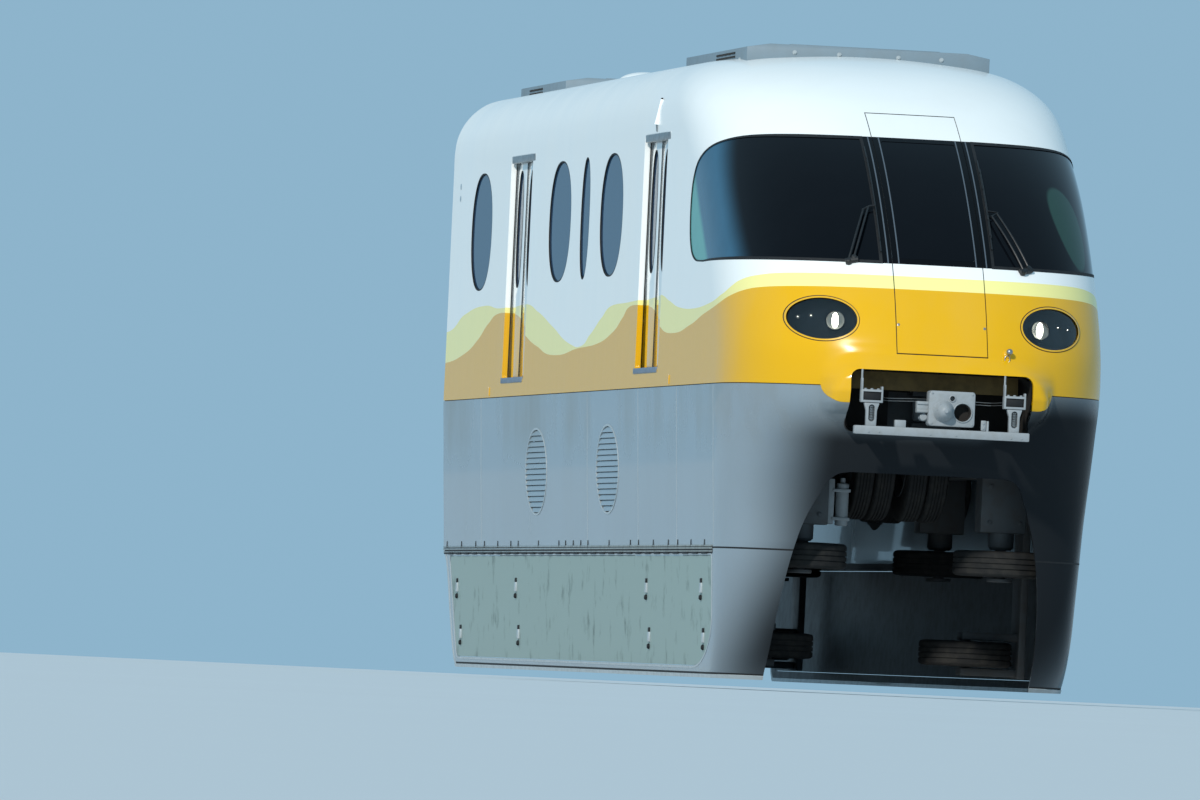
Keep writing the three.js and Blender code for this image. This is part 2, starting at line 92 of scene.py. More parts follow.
class Axis(Enum):
    """The direction that a flat outline is drawn out along."""

    X = 0
    Y = 1
    Z = 2

    def point(self, a: float, b: float, along: float) -> Vector:
        """Point from two values across the axis, in their order, and one along it."""
        values = [a, b]
        values.insert(self.value, along)
        return Vector(values)


def oval(ca: float, cb: float, ra: float, rb: float, steps: int = 64, power: float = 2.0) -> Outline:
    """Oval outline; a power over 2 squares it.

    Args:
        ca, cb: centre.
        ra, rb: half sizes.
        steps: points around.
        power: 2 for an ellipse.

    Returns:
        The outline's points.
    """
    turns = [math.tau * i / steps for i in range(steps)]
    bend = lambda v: math.copysign(abs(v) ** (2 / power), v)
    return [(ca + ra * bend(math.cos(t)), cb + rb * bend(math.sin(t))) for t in turns]


def rounded(a0: float, a1: float, b0: float, b1: float, radius: float, steps: int = 8) -> Outline:
    """Rectangle outline with round corners.

    Args:
        a0, a1, b0, b1: limits.
        radius: corner radius.
        steps: segments in a corner.

    Returns:
        The outline's points.
    """
    corners = ((a1 - radius, b1 - radius), (a0 + radius, b1 - radius),
               (a0 + radius, b0 + radius), (a1 - radius, b0 + radius))
    return [
        (ca + radius * math.cos(t), cb + radius * math.sin(t))
        for quarter, (ca, cb) in enumerate(corners)
        for t in (math.pi / 2 * (quarter + i / steps) for i in range(steps + 1))
    ]


def smooth_rows(rows: Sequence[Sequence[float]], steps: int, closed: bool = False) -> np.ndarray:
    """Fills rows of values in with a smooth curve through them.

    Args:
        rows: rows of equal length.
        steps: rows made for each one given.
        closed: whether the last row leads back to the first.

    Returns:
        The filled rows.
    """
    given = np.array(rows, float)
    if closed:
        given = np.vstack([given[-3:], given, given[:4]])
    way = np.concatenate([[0], np.cumsum(np.linalg.norm(np.diff(given, axis=0), axis=1))])
    slope = np.gradient(given, way, axis=0)
    spans = range(3, len(given) - 4) if closed else range(len(given) - 1)
    made = []
    for i in spans:
        span = way[i + 1] - way[i]
        for t in np.arange(steps) / steps:
            made.append(
                given[i] * (1 + 2 * t) * (1 - t) ** 2 + given[i + 1] * t * t * (3 - 2 * t)
                + span * (slope[i] * t * (1 - t) ** 2 - slope[i + 1] * t * t * (1 - t))
            )
    return np.array(made if closed else [*made, given[-1]])


class Form:
    """A shape in the making: one bmesh with the cuts and primitives that the pieces share."""

    def __init__(self, mesh: bmesh.types.BMesh | None = None) -> None:
        """Starts from a bmesh, or from nothing."""
        self.mesh = mesh or bmesh.new()

    @classmethod
    def block(cls, low: Point, high: Point, bevel: float = 0.0, segments: int = 2) -> Form:
        """Block between two corners, with its edges rounded by bevel."""
        form = cls()
        verts = bmesh.ops.create_cube(form.mesh, size=1.0)["verts"]
        bmesh.ops.scale(form.mesh, vec=Vector(high) - Vector(low), verts=verts)
        bmesh.ops.translate(form.mesh, vec=(Vector(high) + Vector(low)) / 2, verts=verts)
        return form.eased(bevel, segments)

    @classmethod
    def prism(cls, axis: Axis, outline: Outline, start: float, end: float, bevel: float = 0.0) -> Form:
        """Prism of a flat outline along an axis, from start to end."""
        form = cls()
        corners = [form.mesh.verts.new(axis.point(a, b, start)) for a, b in outline]
        grown = bmesh.ops.extrude_face_region(form.mesh, geom=[form.mesh.faces.new(corners)])
        moved = [v for v in grown["geom"] if isinstance(v, bmesh.types.BMVert)]
        bmesh.ops.translate(form.mesh, vec=axis.point(0, 0, end - start), verts=moved)
        bmesh.ops.recalc_face_normals(form.mesh, faces=form.mesh.faces)
        return form.eased(bevel, 2)

    @classmethod
    def loft(cls, rings: Sequence[Sequence[Point]], closed: bool = False) -> Form:
        """Skin over rings of points with as many points each, open or closed round each ring."""
        form = cls()
        before = None
        for ring in rings:
            verts = [form.mesh.verts.new(point) for point in ring]
            pairs = zip(verts, verts[1:] + verts[:1] if closed else verts[1:])
            edges = [form.mesh.edges.new(pair) for pair in pairs]
            if before:
                bmesh.ops.bridge_loops(form.mesh, edges=before + edges)
            before = edges
        bmesh.ops.remove_doubles(form.mesh, verts=form.mesh.verts, dist=2e-5)
        bmesh.ops.recalc_face_normals(form.mesh, faces=form.mesh.faces)
        return form

    @classmethod
    def ring(cls, axis: Axis, outer: Outline, inner: Outline, start: float, end: float) -> Form:
        """Prism of the space between two outlines."""
        return cls.prism(axis, outer, start, end).carved(cls.prism(axis, inner, start - 0.05, end + 0.05))

    @classmethod
    def turned(cls, rows: Outline, centre: Point, axis: Point = (0, 0, 1), steps: int = 32) -> Form:
        """Solid turned about an axis from rows of radius and height along it."""
        form = cls()
        verts = [form.mesh.verts.new((r, 0, h)) for r, h in rows]
        edges = [form.mesh.edges.new(pair) for pair in zip(verts, verts[1:])]
        bmesh.ops.spin(form.mesh, geom=verts + edges, cent=(0, 0, 0), axis=(0, 0, 1),
                       angle=math.tau, steps=steps, use_merge=True)
        bmesh.ops.remove_doubles(form.mesh, verts=form.mesh.verts, dist=1e-6)
        bmesh.ops.recalc_face_normals(form.mesh, faces=form.mesh.faces)
        turn = Vector((0, 0, 1)).rotation_difference(Vector(axis)).to_matrix().to_4x4()
        return form.placed(Matrix.Translation(Vector(centre)) @ turn)

    @classmethod
    def rod(cls, start: Point, end: Point, radius: float, sides: int = 12) -> Form:
        """Round bar between two points, with small chamfers at its ends."""
        way = Vector(end) - Vector(start)
        edge = min(radius * 0.2, way.length * 0.2)
        rows = ((0, 0), (radius - edge, 0), (radius, edge), (radius, way.length - edge),
                (radius - edge, way.length), (0, way.length))
        return cls.turned(rows, start, way, sides)

    @classmethod
    def sweep(cls, path: Sequence[Point], radius: float, sides: int = 8) -> Form:
        """Round section drawn along a path of points, closed at both ends."""
        form = cls()
        points = [Vector(p) for p in path]
        circle = bmesh.ops.create_circle(form.mesh, segments=sides, radius=radius, cap_ends=False)["verts"]
        edges = list({e for v in circle for e in v.link_edges})
        before = Vector((0, 0, 1))
        centre = Vector((0, 0, 0))
        for i, point in enumerate(points):
            if i:
                grown = bmesh.ops.extrude_edge_only(form.mesh, edges=edges)["geom"]
                edges = [e for e in grown if isinstance(e, bmesh.types.BMEdge)]
            heading = points[min(i + 1, len(points) - 1)] - points[max(i - 1, 0)]
            turn = before.rotation_difference(heading).to_matrix()
            verts = list({v for e in edges for v in e.verts})
            bmesh.ops.rotate(form.mesh, cent=centre, matrix=turn, verts=verts)
            bmesh.ops.translate(form.mesh, vec=point - centre, verts=verts)
            before, centre = heading, point
        bmesh.ops.holes_fill(form.mesh, edges=form.mesh.edges, sides=0)
        bmesh.ops.recalc_face_normals(form.mesh, faces=form.mesh.faces)
        return form

    @classmethod
    def bolt(cls, place: Point, axis: Point, radius: float = 0.012) -> Form:
        """Hexagon bolt head on a washer."""
        rows = ((0, 0), (radius * 1.35, 0), (radius * 1.35, radius * 0.2), (0, radius * 0.2))
        head = cls.turned(((0, 0), (radius, 0), (radius, radius * 0.7), (radius * 0.8, radius * 0.85),
                           (0, radius * 0.85)), place, axis, 6)
        return cls.turned(rows, place, axis, 12).plus(head)

    def eased(self, width: float, segments: int) -> Form:
        """Rounds every edge by a width, if that is over nothing."""
        if width > 0:
            bmesh.ops.bevel(self.mesh, geom=self.mesh.edges[:], offset=width, affect="EDGES",
                            segments=segments, profile=0.5, material=-1)
        return self

    def facing(self, eye: Vector) -> float:
        """How far the face nearest to a point looks towards it."""
        self.mesh.normal_update()
        nearest = min(self.mesh.faces, key=lambda f: (f.calc_center_median() - eye).length)
        return nearest.normal.dot(eye - nearest.calc_center_median())

    def plus(self, *others: Form) -> Form:
        """Takes other forms' faces into this one."""
        for other in others:
            held = bpy.data.meshes.new("held")
            other.mesh.to_mesh(held)
            self.mesh.from_mesh(held)
            bpy.data.meshes.remove(held)
        return self

    def placed(self, matrix: Matrix) -> Form:
        """Moves or turns the whole form."""
        bmesh.ops.transform(self.mesh, matrix=matrix, verts=self.mesh.verts)
        return self

    def moved(self, x: float = 0.0, y: float = 0.0, z: float = 0.0) -> Form:
        """Shifts the whole form."""
        return self.placed(Matrix.Translation((x, y, z)))

    def copy(self) -> Form:
        """A copy of the form."""
        return Form(self.mesh.copy())

    def mirrored(self) -> Form:
        """A copy of the form on the car's other side."""
        other = self.copy().placed(Matrix.Diagonal((-1, 1, 1, 1)))
        bmesh.ops.reverse_faces(other.mesh, faces=other.mesh.faces)
        return other

    def on(self, sign: int) -> Form:
        """The form as it is for the left, or its mirror image for the right."""
        return self if sign > 0 else self.mirrored()

    def trimmed(self, low: Point, high: Point) -> Form:
        """Cuts away what lies outside a box; None leaves a side open."""
        for corner, sense in ((low, -1), (high, 1)):
            for axis, limit in enumerate(corner):
                if limit is None:
                    continue
                place, normal = Vector((0, 0, 0)), Vector((0, 0, 0))
                place[axis], normal[axis] = limit, sense
                geometry = self.mesh.verts[:] + self.mesh.edges[:] + self.mesh.faces[:]
                bmesh.ops.bisect_plane(self.mesh, geom=geometry, dist=1e-6, plane_co=place,
                                       plane_no=normal, clear_outer=True)
        return self

    def stand_in(self, name: str) -> bpy.types.Object:
        """A loose object with the form's mesh, for a modifier to read."""
        mesh = bpy.data.meshes.new(name)
        self.mesh.to_mesh(mesh)
        made = set_up(name, mesh)
        return made

    def carved(self, *cutters: Form, keep: bool = False) -> Form:
        """Cuts closed forms out of this one, or keeps only what lies inside them.

        Args:
            cutters: closed forms that don't overlap.
            keep: whether what lies inside stays, not what lies outside.

        Returns:
            The cut form.
        """
        target = self.stand_in("target")
        tool = Form().plus(*cutters).stand_in("tool")
        cut = target.modifiers.new("cut", "BOOLEAN")
        cut.operation = "INTERSECT" if keep else "DIFFERENCE"
        cut.object, cut.solver = tool, "MANIFOLD"
        graph = bpy.context.evaluated_depsgraph_get()
        mesh = bpy.data.meshes.new_from_object(target.evaluated_get(graph))
        made = bmesh.new()
        made.from_mesh(mesh)
        for item in (target, tool):
            data = item.data
            bpy.data.objects.remove(item)
            bpy.data.meshes.remove(data)
        bpy.data.meshes.remove(mesh)
        bmesh.ops.dissolve_degenerate(made, dist=1e-5, edges=made.edges)
        self.mesh.free()
        self.mesh = made
        return self


def linear(colour: str) -> tuple[float, float, float, float]:
    """Linear colour of an sRGB hex value such as #8A929A."""
    values = [int(colour[i:i + 2], 16) / 255 for i in (1, 3, 5)]
    return (*(v / 12.92 if v <= 0.04045 else ((v + 0.055) / 1.055) ** 2.4 for v in values), 1.0)


class Shader:
    """One material's node tree."""

    def __init__(self, name: str) -> None:
        """Starts a material with a Principled shader and Object coordinates."""
        self.material = bpy.data.materials.new(name)
        self.material.use_nodes = True
        self.tree = self.material.node_tree
        self.surface = self.tree.nodes["Principled BSDF"]
        self.place = self.add("ShaderNodeTexCoord").outputs["Object"]
        # Share of soot and painted shade on the surface, once a finish has worked it out
        self.soot_and_shade_film: bpy.types.NodeSocket | None = None

    def add(self, kind: str, inputs: dict | None = None, **settings: object) -> bpy.types.Node:
        """Adds a node.

        Args:
            kind: the node's type name.
            inputs: socket names or numbers with a value, or a socket to link from.
            settings: the node's own properties.

        Returns:
            The node.
        """
        node = self.tree.nodes.new(kind)
        for key, value in settings.items():
            setattr(node, key, value)
        self.feed(node, inputs or {})
        return node

    def feed(self, node: bpy.types.Node, inputs: dict) -> None:
        """Sets or links a node's inputs."""
        for key, value in inputs.items():
            if isinstance(value, bpy.types.NodeSocket):
                self.tree.links.new(value, node.inputs[key])
            else:
                node.inputs[key].default_value = value

    def math(self, operation: str, *values: float | bpy.types.NodeSocket) -> bpy.types.NodeSocket:
        """Result of a Math node on values or sockets."""
        return self.add("ShaderNodeMath", dict(enumerate(values)), operation=operation).outputs[0]

    def ramp(self, value: bpy.types.NodeSocket, start: float, end: float) -> bpy.types.NodeSocket:
        """Smooth step that is 0 at start and 1 at end."""
        limits = {"Value": value, "From Min": start, "From Max": end}
        return self.add("ShaderNodeMapRange", limits, interpolation_type="SMOOTHSTEP").outputs[0]

    def mix(self, share: float | bpy.types.NodeSocket, first: object, second: object) -> bpy.types.NodeSocket:
        """Colour between two, by a share from 0 to 1."""
        node = self.add("ShaderNodeMix", data_type="RGBA")
        self.feed(node, {0: share, 6: first, 7: second})
        return node.outputs[2]


class Pattern(Enum):
    """What a surface's fine relief looks like."""

    NOISE = "noise"
    BRUSHED = "brushed"
    WEAVE = "weave"
    HAMMERED = "hammered"


@dataclass(frozen=True)
class Finish:
    """A surface: its colour, how dirt and wear sit on it, and its relief.

    Sizes of patterns are in millimetres on the real thing. stretch draws the stain patches out
    along X, Y and Z.
    """

    name: str
    colour: str
    stain: str = "#5C5B55"
    stain_share: float = 0.15
    stain_mm: float = 300.0
    stretch: tuple[float, float, float] = (1.0, 1.0, 1.0)
    onset: float = 0.42
    roughness: float = 0.4
    spread: float = 0.1
    metallic: float = 0.0
    pattern: Pattern = Pattern.NOISE
    grain_mm: float = 20.0
    relief_mm: float = 0.05
    swell_mm: float = 0.0
    coat: float = 0.0
    specular: float = 0.5
    sheen: float = 0.0
    ior: float = 1.5
    transmission: float = 0.0
    glow: float = 0.0

    def base(self, shader: Shader) -> bpy.types.NodeSocket | tuple:
        """Clean colour, before any stain."""
        return linear(self.colour)

    def gloss(self, shader: Shader, value: object) -> object:
        """A reflection strength, which a film of soot and painted shade may dull."""
        return value

    def patches(self, shader: Shader) -> bpy.types.NodeSocket:
        """Where the stain sits, from 0 to 1."""
        mapping = shader.add("ShaderNodeMapping", {
            "Vector": shader.place, "Scale": tuple(1 / s for s in self.stretch)})
        noise = shader.add("ShaderNodeTexNoise", {
            "Vector": mapping.outputs[0], "Scale": 1000 / self.stain_mm, "Detail": 6.0, "Roughness": 0.6})
        spread = shader.add("ShaderNodeMapRange", {
            "Value": noise.outputs["Fac"], "From Min": self.onset, "From Max": 0.75,
            "To Max": self.stain_share})
        return spread.outputs[0]

    def grain(self, shader: Shader) -> bpy.types.NodeSocket:
        """Height of the fine relief, from 0 to 1."""
        scale = 1000 / self.grain_mm
        if self.pattern is Pattern.BRUSHED:
            mapping = shader.add("ShaderNodeMapping", {"Vector": shader.place, "Scale": (1.0, 0.04, 1.0)})
            return shader.add("ShaderNodeTexNoise", {
                "Vector": mapping.outputs[0], "Scale": scale, "Detail": 2.0}).outputs["Fac"]
        if self.pattern is Pattern.WEAVE:
            waves = [shader.add("ShaderNodeTexWave", {"Vector": shader.place, "Scale": scale / 6.28},
                                bands_direction=way).outputs["Fac"] for way in ("Y", "DIAGONAL")]
            return shader.math("MULTIPLY", *waves)
        if self.pattern is Pattern.HAMMERED:
            return shader.add("ShaderNodeTexVoronoi", {
                "Vector": shader.place, "Scale": scale}, feature="SMOOTH_F1").outputs["Distance"]
        return shader.add("ShaderNodeTexNoise", {
            "Vector": shader.place, "Scale": scale, "Detail": 3.0}).outputs["Fac"]

    def make(self) -> bpy.types.Material:
        """The finish as a material, made once."""
        found = bpy.data.materials.get(self.name)
        if found:
            return found
        shader = Shader(self.name)
        stain = self.patches(shader)
        rough = shader.math("MULTIPLY_ADD", stain, self.spread / max(self.stain_share, 0.01), self.roughness)
        bump = shader.add("ShaderNodeBump", {"Height": self.grain(shader), "Distance": self.relief_mm * MM,
                                             "Strength": 1.0})
        if self.swell_mm:
            mapping = shader.add("ShaderNodeMapping", {"Vector": shader.place, "Scale": (1.0, 1.0, 0.45)})
            swell = shader.add("ShaderNodeTexNoise", {"Vector": mapping.outputs[0], "Scale": 1.6,
                                                      "Detail": 1.5})
            bump = shader.add("ShaderNodeBump", {
                "Height": swell.outputs["Fac"], "Distance": self.swell_mm * MM, "Strength": 1.0,
                "Normal": bump.outputs[0]})
        shader.feed(shader.surface, {
            "Base Color": shader.mix(stain, self.base(shader), linear(self.stain)),
            "Roughness": rough, "Normal": bump.outputs[0], "Metallic": self.metallic,
            "Coat Weight": self.gloss(shader, self.coat), "Coat Roughness": 0.04,
            "Specular IOR Level": self.gloss(shader, self.specular),
            "Sheen Weight": self.sheen, "Transmission Weight": self.transmission})
        if not self.metallic:
            shader.feed(shader.surface, {"IOR": self.ior})
        if self.glow:
            shader.feed(shader.surface, {"Emission Color": linear(self.colour),
                                         "Emission Strength": self.glow})
        shader.material.diffuse_color = linear(self.colour)
        return shader.material


@dataclass(frozen=True)
class Livery(Finish):
    """Two-pack car enamel in white, pale yellow and yellow, masked in level bands on the nose
    and in overlapping waves along the sides."""

    pale: str = "#FAF09A"
    yellow: str = "#E4AD0A"
    pale_top: Outline = (
        (-7.4, 1.863), (-6.834, 1.858), (-6.508, 1.832), (-6.307, 1.796), (-6.135, 1.737), (-5.952, 1.685),
        (-5.438, 1.619), (-4.709, 1.593), (-4.208, 1.609), (-3.676, 1.673), (-3.088, 1.732),
        (-2.781, 1.719), (-1.712, 1.691), (-1.077, 1.683), (-0.551, 1.595), (0.058, 1.449), (0.596, 1.366),
        (0.788, 1.378), (1.883, 1.554), (2.694, 1.694), (3.397, 1.766), (4.681, 1.749), (5.396, 1.783),
        (6.501, 1.723), (7.395, 1.589))
    yellow_top: Outline = (
        (-7.4, 1.764), (-6.897, 1.754), (-6.563, 1.736), (-6.394, 1.714), (-6.167, 1.672), (-5.797, 1.603),
        (-5.215, 1.537), (-4.62, 1.461), (-3.877, 1.414), (-3.289, 1.476), (-2.913, 1.557), (-2.442, 1.653),
        (-1.99, 1.664), (-1.561, 1.579), (-1.048, 1.456), (-0.242, 1.374), (0.595, 1.355), (1.624, 1.314),
        (2.61, 1.399), (3.222, 1.495), (3.644, 1.597), (4.167, 1.697), (4.569, 1.708), (5.151, 1.636),
        (5.719, 1.499), (6.503, 1.379), (7.369, 1.325))

    def wave(self, shader: Shader, along: bpy.types.NodeSocket, points: Outline) -> bpy.types.NodeSocket:
        """Height of a wave's top along the car, from rows of place and height."""
        start, length, floor, rise = -8.0, 16.0, 1.2, 0.8
        curve = shader.add("ShaderNodeFloatCurve", {
            "Value": shader.math("DIVIDE", shader.math("SUBTRACT", along, start), length)})
        line = curve.mapping.curves[0]
        line.points[0].location = (0, (points[0][1] - floor) / rise)
        line.points[1].location = (1, (points[-1][1] - floor) / rise)
        for y, z in points:
            line.points.new((y - start) / length, (z - floor) / rise)
        curve.mapping.update()
        return shader.math("MULTIPLY_ADD", curve.outputs[0], rise, floor)

    def base(self, shader: Shader) -> bpy.types.NodeSocket:
        """White over pale yellow over yellow."""
        split = shader.add("ShaderNodeSeparateXYZ", {0: shader.place}).outputs
        colour = linear(self.colour)
        for points, below in ((self.pale_top, self.pale), (self.yellow_top, self.yellow)):
            share = shader.math("LESS_THAN", split[2], self.wave(shader, split[1], points))
            colour = shader.mix(share, colour, linear(below))
        return colour


@dataclass(frozen=True)
class SootAndShadeEnamel(Finish):
    """Enamel that brake dust and tyre soot darken towards the arch over the beam, with painted shade
    under the coupler hood and, most of all, on the left flank, which faces away from the sun.
    """

    # Colour and strength of the soot and of the painted shade
    soot_and_shade_colour: str = "#191B1E"
    soot_and_shade_share: float = 0.97

    def soot_and_shade_film(self, shader: Shader) -> bpy.types.NodeSocket:
        """Share of soot and painted shade: low down, near the middle and at the front, wider and higher on
        the left.
        """
        if shader.soot_and_shade_film:
            return shader.soot_and_shade_film
        across, along, up = shader.add("ShaderNodeSeparateXYZ", {0: shader.place}).outputs
        lower = shader.math("MULTIPLY", shader.math("MINIMUM", shader.math("ADD", up, 0.2), 0.0), 0.36)
        # Painted shade: the film reaches further out on the left flank, which faces away from the sun
        out = shader.math("MAXIMUM", shader.math("MULTIPLY", across, 0.4),
                          shader.math("MULTIPLY", across, -1.0))
        near = shader.ramp(shader.math("ADD", out, lower), 1.41, 0.72)
        # Painted shade: the film also reaches higher on the left flank
        left = shader.math("MULTIPLY", shader.ramp(across, 0.3, 0.95), 0.25)
        low = shader.ramp(shader.math("SUBTRACT", up, left), 0.96, 0.56)
        ahead = shader.math("MULTIPLY", shader.ramp(along, -5.3, -6.4), self.soot_and_shade_share)
        shader.soot_and_shade_film = shader.math("MULTIPLY", shader.math("MULTIPLY", near, low), ahead)
        return shader.soot_and_shade_film

    def base(self, shader: Shader) -> bpy.types.NodeSocket:
        """Clean colour under the soot and painted shade."""
        return shader.mix(self.soot_and_shade_film(shader), linear(self.colour), linear(self.soot_and_shade_colour))

    def gloss(self, shader: Shader, value: object) -> object:
        """The soot and painted shade dull the reflections."""
        return shader.math("MULTIPLY", shader.math("SUBTRACT", 1.0, self.soot_and_shade_film(shader)), value)

    def patches(self, shader: Shader) -> bpy.types.NodeSocket:
        """The painted reflections hang from the upper edge, and the soot and painted shade hide them."""
        up = shader.add("ShaderNodeSeparateXYZ", {0: shader.place}).outputs[2]
        hung = shader.math("MULTIPLY_ADD", shader.ramp(up, 0.35, 0.8), 0.8, 0.2)
        return self.gloss(shader, shader.math("MULTIPLY", super().patches(shader), hung))


@dataclass(frozen=True)
class GlassWithPaintedReflection(Finish):
    """Windshield glass: near black ahead, with painted sky reflection in steel blue and teal towards
    its rear edge, and a leaning green oval on the left painted where the far side's daylight shows."""

    # Painted sky reflection in steel blue and teal, and the painted green of the far side's daylight
    side: str = "#35607A"
    edge: str = "#5FA39D"
    through: str = "#29453F"

    def base(self, shader: Shader) -> bpy.types.NodeSocket:
        """Dark colour turning to the painted reflection colours at the rear edge, and the painted green oval.
        """
        across, along, up = shader.add("ShaderNodeSeparateXYZ", {0: shader.place}).outputs
        level = shader.math("ADD", along, shader.math("MULTIPLY", shader.math("SUBTRACT", up, 2.05), -1.1))
        colour = shader.mix(shader.ramp(level, -6.3, -5.9), linear(self.colour), linear(self.side))
        colour = shader.mix(shader.ramp(level, -5.3, -5.1), colour, linear(self.edge))
        away = shader.math("DIVIDE", shader.math("ADD", along, shader.math("MULTIPLY_ADD", up, -0.7, 7.89)),
                           0.18)
        rise = shader.math("DIVIDE", shader.math("SUBTRACT", up, 2.31), 0.34)
        reach = shader.math("ADD", shader.math("MULTIPLY", away, away), shader.math("MULTIPLY", rise, rise))
        inside = shader.math("MULTIPLY", shader.ramp(reach, 1.0, 0.8),
                             shader.math("GREATER_THAN", across, 0.0))
        return shader.mix(inside, colour, linear(self.through))


# Gloss two-pack enamel sprayed on aluminium panels: clear reflections with a slow swell in them
LIVERY = Livery("two_pack_livery_enamel", "#F3F5F3", stain="#B9B3A2", stain_share=0.1, stain_mm=900,
                stretch=(1, 1, 3), roughness=0.2, spread=0.08, swell_mm=1.4, grain_mm=6, relief_mm=0.006,
                coat=0.12, specular=0.3)
# Same enamel on the flat leaves, polished by the brush wash: they mirror the bright jamb beside them
LEAF = replace(LIVERY, name="polished_leaf_enamel", coat=1.0, swell_mm=0.0, roughness=0.15)
# Sprayed enamel on the plastic dome: a soft highlight and faint rain streaks
WHITE = Finish("white_enamel", "#F0F2F0", stain="#A9A595", stain_share=0.12, roughness=0.28, swell_mm=0.5,
               stretch=(1, 1, 3), relief_mm=0.006, grain_mm=6, coat=0.4)
# The livery yellow on small parts: bright, with a clear gloss
YELLOW = Finish("yellow_enamel", "#E4AD0A", stain="#C08A10", stain_share=0.12, roughness=0.18, coat=0.8,
                relief_mm=0.006, grain_mm=6)
# Same enamel lower down, with upright warm grey smudges that are painted reflections of the surroundings
GREY = SootAndShadeEnamel("grey_enamel_with_painted_reflection_and_shade", "#86949E", stain="#75705F", stain_share=0.75, stain_mm=1100,
                    stretch=(1, 1, 2.5), roughness=0.26, spread=0.1, swell_mm=2.6, grain_mm=6,
                    relief_mm=0.006, coat=0.4)
# Matt skirt paint gone greenish, with dark scuffs drawn down by washing
PANEL = Finish("weathered_skirt_paint", "#90A29D", stain="#56645F", stain_share=0.8, stain_mm=170,
               stretch=(1, 1.2, 1.5), onset=0.565, roughness=0.5, spread=0.15, swell_mm=1.5, grain_mm=5,
               relief_mm=0.02)
# Powder coat on sheet housings: even and half matt
UNIT_GREY = Finish("powder_coated_grey", "#768893", stain="#6F7678", stain_share=0.3, stain_mm=180,
                   roughness=0.5, grain_mm=4, relief_mm=0.02)
# Laminated safety glass over a dark cab, almost mirror smooth, with painted reflection colours at its rear
# edge
GLASS = GlassWithPaintedReflection("tinted_laminated_glass", "#0A0D12", stain="#14181D", stain_share=0.1, roughness=0.03,
                  spread=0.03, relief_mm=0.0, specular=0.1)
# Tinted side panes: dark blue, with a dull mirror image
SIDE_GLASS = Finish("side_privacy_glass", "#224563", stain="#33506A", stain_share=0.1, roughness=0.05,
                    spread=0.04, relief_mm=0.0, transmission=0.15, specular=0.12)
# Black ceramic band and door frame between the front panes
BAND = Finish("black_glass_edge_band", "#08090C", stain="#101216", stain_share=0.2, roughness=0.12,
              specular=0.12, relief_mm=0.0)
# Extruded rubber: black and matt, greyed by dust
RUBBER = Finish("extruded_epdm_rubber", "#15171A", stain="#3A3B3A", stain_share=0.2, stain_mm=60,
                roughness=0.65, grain_mm=3, relief_mm=0.05, specular=0.35)
# Chassis paint: dark grey with brown road film
STEEL = Finish("painted_chassis_steel", "#4C5053", stain="#4A3A2C", stain_share=0.35, stain_mm=90,
               roughness=0.55, grain_mm=5, relief_mm=0.08, specular=0.4)
# Painted castings: pale, with the dimpled skin of a sand mould
CAST = Finish("pale_grey_cast_iron_paint", "#93999D", stain="#75736A", stain_share=0.3, stain_mm=45,
              roughness=0.5, pattern=Pattern.HAMMERED, grain_mm=7, relief_mm=0.12)
# Galvanised parts: mottled, dull metal
ZINC = Finish("galvanised_steel", "#9DA3A6", stain="#5E5B53", stain_share=0.45, stain_mm=40, metallic=0.85,
              roughness=0.35, pattern=Pattern.HAMMERED, grain_mm=12, relief_mm=0.03)
# Smoked reflectors: nearly black, with soft glints
REFLECTOR = Finish("smoked_chrome_reflector", "#1E2328", stain="#15191D", stain_share=0.3, stain_mm=20,
                   metallic=0.8, roughness=0.3, spread=0.05, relief_mm=0.0)
# Moulded plastic: dark, with a leather grain
PLASTIC = Finish("moulded_cab_plastic", "#2A2D31", stain="#3B3E42", stain_share=0.2, stain_mm=80,
                 roughness=0.6, pattern=Pattern.HAMMERED, grain_mm=3, relief_mm=0.05)
# Melamine boards: creamy white, half gloss
LINING = Finish("melamine_wall_lining", "#D8D8CF", stain="#B9B8AC", stain_share=0.15, roughness=0.45,
                grain_mm=8, relief_mm=0.01)
# Studded rubber floor: grey with worn patches
FLOORING = Finish("studded_rubber_flooring", "#6C7074", stain="#4C4E50", stain_share=0.3, stain_mm=250,
                  roughness=0.7, pattern=Pattern.HAMMERED, grain_mm=25, relief_mm=0.4)
# Tyre rubber: near black with brown dust
TYRE = Finish("carbon_black_tyre_rubber", "#1C1D1E", stain="#4B4842", stain_share=0.35, stain_mm=70,
              roughness=0.85, grain_mm=4, relief_mm=0.12, specular=0.3)
# Painted shade for recesses and openings: brown-black without gloss
RECESS_SHADE = Finish("painted_recess_shade", "#1B1917", stain="#3A2F22", stain_share=0.4, stain_mm=200, roughness=0.8)
# Top lining of the coupler mouth: yellow enamel painted brown for the shade inside the mouth, with darker
# patches
MOUTH_SHADE_BROWN = Finish("mouth_lining_painted_shade_brown", "#6E572B", stain="#241C12", stain_share=0.5, stain_mm=90, roughness=0.7)
# Wool moquette: blue with a fuzzy sheen
CLOTH = Finish("woven_wool_moquette", "#35508A", stain="#22335C", stain_share=0.4, stain_mm=35,
               roughness=0.95, pattern=Pattern.WEAVE, grain_mm=6, relief_mm=0.5, sheen=0.4, specular=0.2)
# Lit bulb: a warm white glow
LAMP = Finish("clear_lamp_glow", "#FFF6DC", glow=14.0, stain_share=0.02, roughness=0.2)
# Thin aluminium edge trims, satin anodised
TRIM = Finish("anodised_edge_trim", "#5C656E", stain="#3C444C", stain_share=0.3, stain_mm=60, metallic=0.3,
              roughness=0.4, pattern=Pattern.BRUSHED, grain_mm=2, relief_mm=0.01)
# Enamelled edges: pale grey, half gloss
RIM_GREY = Finish("pale_rim_enamel", "#A9B2B6", stain="#6F7472", stain_share=0.35, stain_mm=90,
                  roughness=0.35, coat=0.3, grain_mm=6, relief_mm=0.01)
